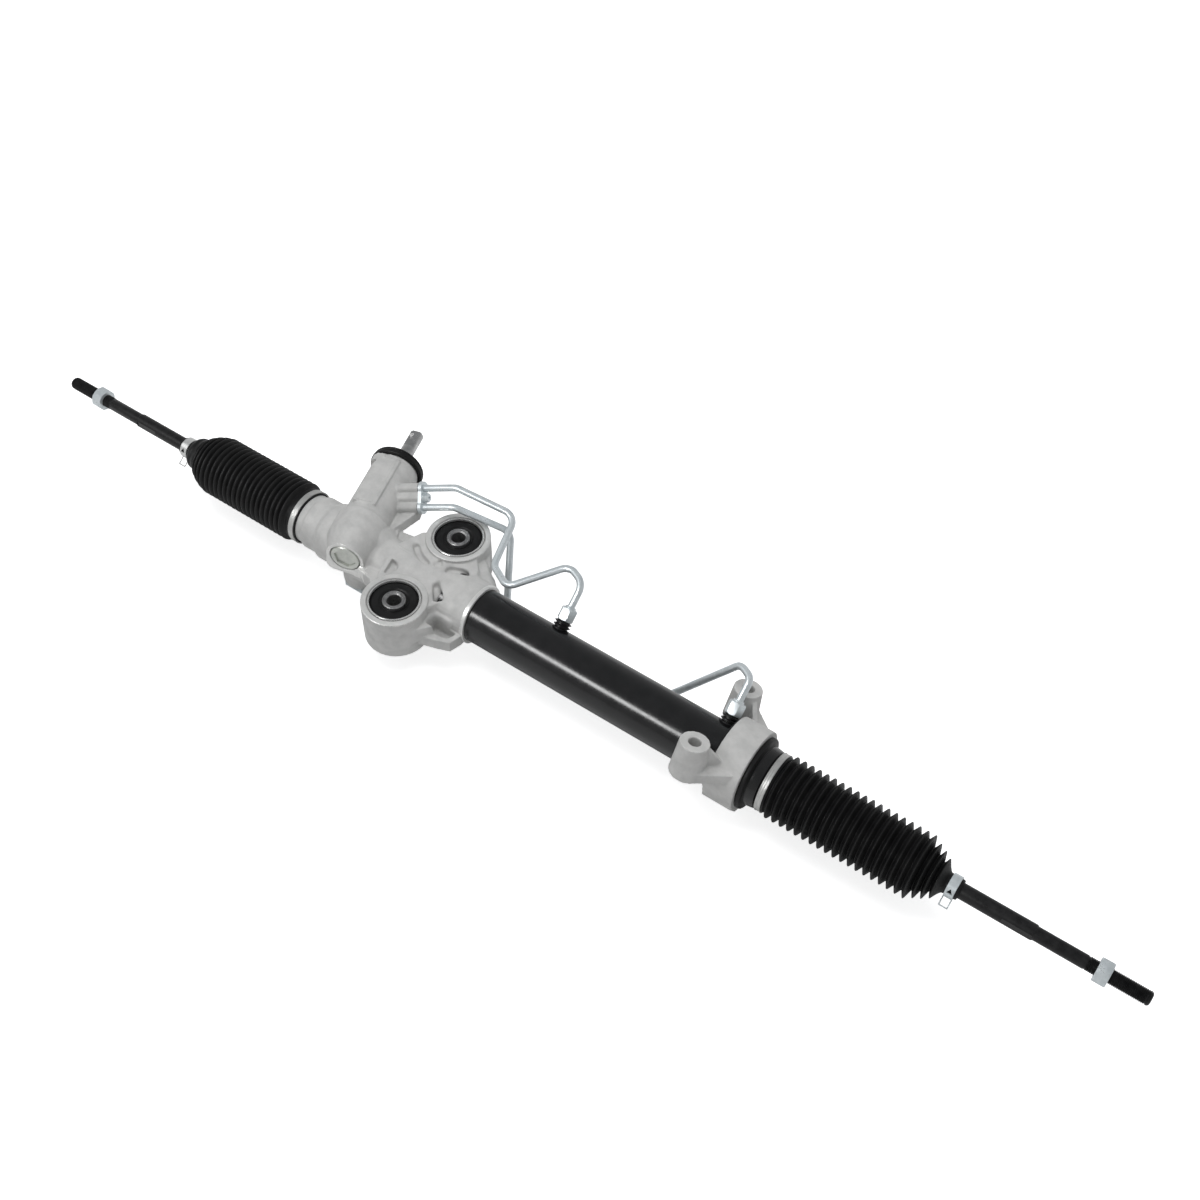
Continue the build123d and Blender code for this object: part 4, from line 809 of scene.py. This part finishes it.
def cut_boxes(piece, frame_at, *boxes):
    """Cuts boxes out of a piece. Each has a centre and a size, in millimetres in a frame."""
    put_down()
    bpy.ops.mesh.primitive_cube_add(size=1)
    cutter = bpy.context.object
    for centre, size in boxes:
        place = Matrix.Translation([value * MM for value in centre])
        stretch = Matrix.Diagonal([value * MM for value in size] + [1])
        cutter.matrix_world = frame_at @ place @ stretch
        shape(piece, "BOOLEAN", object=cutter, operation="DIFFERENCE", solver="EXACT")
    bpy.data.objects.remove(cutter)


SHAFT_FLAT = ((142.0, 11.2, -3.0), (26.0, 12.0, 30.0))
PINCH_NOTCH = ((144.5, 7.0, -6.5), (7.0, 10.0, 10.0))
cut_boxes(shaft, tower_frame, SHAFT_FLAT, PINCH_NOTCH)
soften(shaft, 30.0)
stands_for(shaft, "pinion", "steel", "input_shaft")


PLUG_HEX = 21.0
KEY_LENGTH = 8.0
KEY_AT = 36.2
KEY_TURN = radians(12.0)
plug_finish = finish(
    "plated_plug", (0.64, 0.655, 0.61), (0.54, 0.555, 0.52), 0.6, 0.30, 0.46, 120.0, 1800.0, 0.03
)
plug_frame = facing(PINION_AT, -pinion_out, (0, 0, 1))
plug = turned(
    "bore_plug",
    [(24.2, 0.05), (24.2, 16.4), (32.6, 16.4), (33.6, 15.6), (34.5, 15.3), (35.0, 14.7), (35.0, 0.05)],
    plug_finish,
    plug_frame,
    96,
)
put_down()
bpy.ops.mesh.primitive_cylinder_add(
    vertices=6, radius=PLUG_HEX / sqrt(3) * MM, depth=KEY_LENGTH * MM, rotation=(0, pi / 2, 0)
)
key = bpy.context.object
settle(key)
key.matrix_world = plug_frame @ Matrix.Translation((KEY_AT * MM, 0, 0)) @ Matrix.Rotation(KEY_TURN, 4, "X")
shape(plug, "BOOLEAN", object=key, operation="DIFFERENCE", solver="EXACT")
bpy.data.objects.remove(key)
shape(plug, "BEVEL", width=0.35 * MM, segments=2, limit_method="ANGLE", angle_limit=radians(40))
soften(plug, 35.0)
stands_for(plug, "housing", "zinc", "pinion_plug")


# ---------------------------------------------------------------- boots
# Moulded rubber bellows. The left one has thick rounded folds that run out over a dome, the right one has
# sharp folds down to a cone. Each is clamped at both ends.
BIG_CUFF_R = 28.5
CUFF_R = 9.85
ROD_R = 7.55


def folds(crests, depth, flat):
    """Outline corners of a row of folds, each crest so wide and each valley so deep."""
    points = []
    for (x, crest), (next_x, next_crest) in zip(crests, crests[1:]):
        step = (next_x - x) / abs(next_x - x)
        points += [(x - step * flat, crest), (x + step * flat, crest)]
        points.append(((x + next_x) / 2, min(crest, next_crest) - depth))
    return points + [(crests[-1][0] - step * flat, crests[-1][1])]


def zones(name, outline, cuts, material, steps=96):
    """A boot as three pieces, cut where its outline passes two places."""
    pieces = []
    rest = list(outline)
    direction = 1 if outline[-1][0] > outline[0][0] else -1
    for count, cut in enumerate(list(cuts) + [None]):
        if cut is None:
            part, rest = rest, []
        else:
            upto = next(k for k, (x, _) in enumerate(rest) if (x - cut) * direction >= 0)
            part, rest = rest[: upto + 1], rest[upto:]
        pieces.append(turned(f"{name}_{count}", part, material, steps=steps))
    return pieces


FOLD_R = 2.0
RIGHT_FOLD_R = 1.3
LEFT_PITCH = 6.55
LEFT_START = -171.5
left_crests = [(LEFT_START - LEFT_PITCH * fold, 32.6) for fold in range(18)]
left_last = left_crests[-1][0]
left_crests += [(left_last - 6.5, 31.0), (left_last - 13, 28.4), (left_last - 19, 25.0)]
left_crests.append((left_last - 25, 20.6))
left_outline = rounded(
    [(-154.0, 26.6), (-154.0, 27.6), (-154.8, BIG_CUFF_R), (-165.8, BIG_CUFF_R), (-167.8, 27.6)]
    + folds(left_crests, 4.6, 1.0)
    + [(-313.0, 17.4), (-316.0, 18.0), (-320.5, 15.4), (-322.6, CUFF_R + 1), (-324.0, CUFF_R),
       (-336.5, CUFF_R), (-337.5, 9.2), (-337.5, ROD_R + 0.2)],
    FOLD_R,
    4,
)
RIGHT_PITCH = 7.75
RIGHT_START = 411.0
right_crests = [(RIGHT_START + RIGHT_PITCH * fold, 31.6) for fold in range(19)]
right_last = right_crests[-1][0]
right_crests += [(right_last + 7.2, 27.3), (right_last + 13.8, 23.9), (right_last + 20.2, 20.4)]
right_outline = rounded(
    [(397.8, 26.6), (397.8, 27.8), (398.4, BIG_CUFF_R), (406.6, BIG_CUFF_R), (408.2, 25.6)]
    + folds(right_crests, 6.4, 0.35)
    + [(574.0, 13.6), (576.5, CUFF_R + 0.4), (578.0, CUFF_R), (589.5, CUFF_R), (590.5, 9.2),
       (590.5, ROD_R + 0.2)],
    RIGHT_FOLD_R,
    3,
)
for side, outline, cuts, travel in (
    ("left", left_outline, (-270.0, -297.0), (-166.0, -270.0, -297.0, -321.0)),
    ("right", right_outline, (535.0, 556.0), (408.0, 535.0, 556.0, 577.0)),
):
    for count, piece in enumerate(zones(f"{side}_bellows", outline, cuts, black_rubber)):
        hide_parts(f"{side}_boot")
        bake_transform(piece)


# ---------------------------------------------------------------- boot bands and clamps
# A flat stainless band with rolled edges holds each big end on its seat. At each rod end a narrow spring
# clamp has a pinch slot and a squared wire ear to open it by.
satin_steel = finish(
    "satin_steel", (0.60, 0.60, 0.585), (0.50, 0.50, 0.49), 0.75, 0.34, 0.5, 130.0, 2200.0, 0.03
)
BAND_BORE_R = 28.55
BAND_R = 29.25
BAND_RIB_R = 29.5
BAND_EDGE_R = 29.7
for side, middle in (("left", -158.5), ("right", 402.0)):
    half = [(3.0, BAND_BORE_R), (3.0, BAND_EDGE_R), (2.2, BAND_EDGE_R), (1.8, BAND_R), (0.4, BAND_R)]
    outline = [(middle - out, radius) for out, radius in half] + [(middle, BAND_RIB_R)]
    outline += [(middle + out, radius) for out, radius in reversed(half)]
    band = turned(f"{side}_band", rounded(outline, 0.2), satin_steel, steps=96, closed=True)
    stands_for(band, "housing", "band_steel", f"{side}_boot_band")
CLAMP_HALF = 4.25
CLAMP_BORE_R = 10.2
CLAMP_R = 11.35
SLOT_R = 3.3
SLOT_TURN = radians(-24.0)
EAR_WIRE = 1.5
EAR_SIZE = (8.0, 9.0)
EAR_AT = 15.6
EAR_TURN = radians(-52.0)
for side, middle, metal in (("left", -329.5, bright_steel), ("right", 583.5, zinc)):
    near, far = middle - CLAMP_HALF, middle + CLAMP_HALF
    clamp = turned(
        f"{side}_clamp",
        [(near, CLAMP_BORE_R), (near, CLAMP_R), (far, CLAMP_R), (far, CLAMP_BORE_R)],
        metal,
        steps=64,
        closed=True,
    )
    put_down()
    bpy.ops.mesh.primitive_cylinder_add(
        vertices=3, radius=SLOT_R * MM, depth=8.0 * MM, rotation=(radians(90), 0, 0)
    )
    slot = bpy.context.object
    settle(slot)
    outwards = Matrix.Translation((middle * MM, 0, 0)) @ Matrix.Rotation(SLOT_TURN, 4, "X")
    slot.matrix_world = outwards @ Matrix.Translation((0, -11.0 * MM, 0))
    shape(clamp, "BOOLEAN", object=slot, operation="DIFFERENCE", solver="EXACT")
    bpy.data.objects.remove(slot)
    soften(clamp, 35.0)
    put_down()
    bpy.ops.mesh.primitive_plane_add(size=1)
    ear = bpy.context.object
    ear.scale = (EAR_SIZE[0] * MM, EAR_SIZE[1] * MM, 1)
    ear.location = (middle * MM, 0, -EAR_AT * MM)
    ear.rotation_euler = (radians(90), 0, 0)
    settle(ear)
    ear.matrix_world = Matrix.Rotation(EAR_TURN, 4, "X")
    settle(ear)
    shape(ear, "WIREFRAME", thickness=EAR_WIRE * MM, use_boundary=True, use_even_offset=True)
    shape(ear, "BEVEL", width=0.35 * MM, segments=2, limit_method="ANGLE", angle_limit=radians(40))
    coat(ear, metal)
    soften(ear, 35.0)
    clamp = joined(f"{side}_clamp", [clamp, ear])
    stands_for(clamp, f"{side}_rod", "band_steel", f"{side}_rod_clamp")


# ---------------------------------------------------------------- tie rods
# Rods forged in one piece with their balls and coated in black phosphate, with two wrench flats and a rolled
# M14 thread at the tip. A zinc-plated jam nut locks the outer ball joint that the tip screws into.
THREAD_PITCH = 1.5
THREAD_ROOT_R = 6.05
THREAD_CREST_R = 6.9
BALL_NECK_R = 6.6
THREADED_LENGTH = 105.0
LOCK_NUT = 12.0
FLAT_SIZE = (28.0, 8.0, 30.0)
FLAT_AT = 10.5


def rolled_thread(name, start, turns, root, crest, material, place):
    """Screw thread along its frame's X."""
    put_down()
    bpy.ops.mesh.primitive_plane_add(size=2 * MM, location=(0, 0, 0))
    piece = bpy.context.object
    piece.name = name
    bpy.ops.object.mode_set(mode="EDIT")
    bpy.ops.mesh.select_all(action="SELECT")
    bpy.ops.mesh.merge(type="CENTER")
    bpy.ops.transform.translate(value=(start * MM, 0, root * MM))
    for rise in (crest - root, root - crest):
        move = (THREAD_PITCH / 2 * MM, 0, rise * MM)
        bpy.ops.mesh.extrude_vertices_move(TRANSFORM_OT_translate={"value": move})
    put_down()
    shape(piece, "SCREW", axis="X", angle=2 * pi, screw_offset=THREAD_PITCH * MM, iterations=turns, steps=32,
          render_steps=32, use_merge_vertices=True, merge_threshold=1e-6)
    piece.matrix_world = place
    settle(piece)
    coat(piece, material)
    return soften(piece, 30.0)


for side, outward, ball, tip, nut_at in (
    ("left", -1, -207.0, -508.0, -463.0),
    ("right", 1, 463.0, 764.3, 722.0),
):
    rod_frame = facing((ball, 0, 0), (outward, 0, 0), (0, outward, 0))
    length = abs(tip - ball)
    shank = length - THREADED_LENGTH
    thread_from = abs(nut_at - ball) - 15.0
    ball_end = [(-11.9, 0.05), (-11.0, 4.7), (-8.5, 8.4), (-4.0, 11.3), (0.0, 12.0), (4.0, 11.3), (8.5, 8.4)]
    middle_part = [(10.5, BALL_NECK_R), (24, BALL_NECK_R), (30, ROD_R), (shank, ROD_R),
                   (shank + 1.5, BALL_NECK_R), (thread_from - 1, BALL_NECK_R), (thread_from, 6.1)]
    tip_end = [(length - 3.4, 6.1), (length - 3.0, 6.8), (length - 1.9, 6.6), (length - 0.7, 5.9),
               (length, 4.6), (length, 0.05)]
    rod = turned(f"{side}_rod_bar", ball_end + middle_part + tip_end, black_steel, rod_frame, 64)
    # The flats end on a ring of the bar, where the exact boolean reacts to the last digit of their place.
    flats = [((shank - FLAT_SIZE[0] / 2, hand * FLAT_AT, 0), FLAT_SIZE) for hand in (1, -1)]
    cut_boxes(rod, rod_frame, *flats)
    soften(rod, 30.0)
    turns = int((length - 3.4 - thread_from) / THREAD_PITCH)
    thread = rolled_thread(
        f"{side}_thread", thread_from, turns, THREAD_ROOT_R, THREAD_CREST_R, black_steel, rod_frame
    )
    forging = joined(f"{side}_rod_forging", [rod, thread])
    stands_for(forging, f"{side}_rod", "black_steel", f"{side}_tie_rod")
    nut_from = abs(nut_at - ball) - LOCK_NUT / 2
    nut = hexagon_nut(f"{side}_lock_nut", nut_from, LOCK_NUT, 22.0, THREAD_CREST_R, 2.4, zinc, rod_frame)
    stands_for(nut, f"{side}_rod", "zinc", f"{side}_jam_nut")


# ---------------------------------------------------------------- inner parts and the finish of every node
# Every node that no piece above stands for keeps its own form, in the metal, plastic or rubber that it is
# made of: the parts inside, the pipes and their plate, and the yoke's plug and nut.
acetal = finish("acetal", (0.72, 0.69, 0.60), (0.62, 0.58, 0.48), 0.0, 0.28, 0.42, 90.0, 1200.0, 0.02)
filled_ptfe = finish(
    "filled_ptfe", (0.12, 0.085, 0.06), (0.07, 0.05, 0.04), 0.0, 0.35, 0.5, 300.0, 2400.0, 0.02
)
FINISHES = {
    "cast": cast_aluminium,
    "gloss_black": gloss_black,
    "black_steel": black_steel,
    "zinc": zinc,
    "band_steel": bright_steel,
    "steel": ground_steel,
    "rubber": black_rubber,
    "plastic": acetal,
    "ptfe": filled_ptfe,
}
for part in frame["record"]["subparts"]:
    coat(nodes[part["node"]], FINISHES[part["material_slot"]])
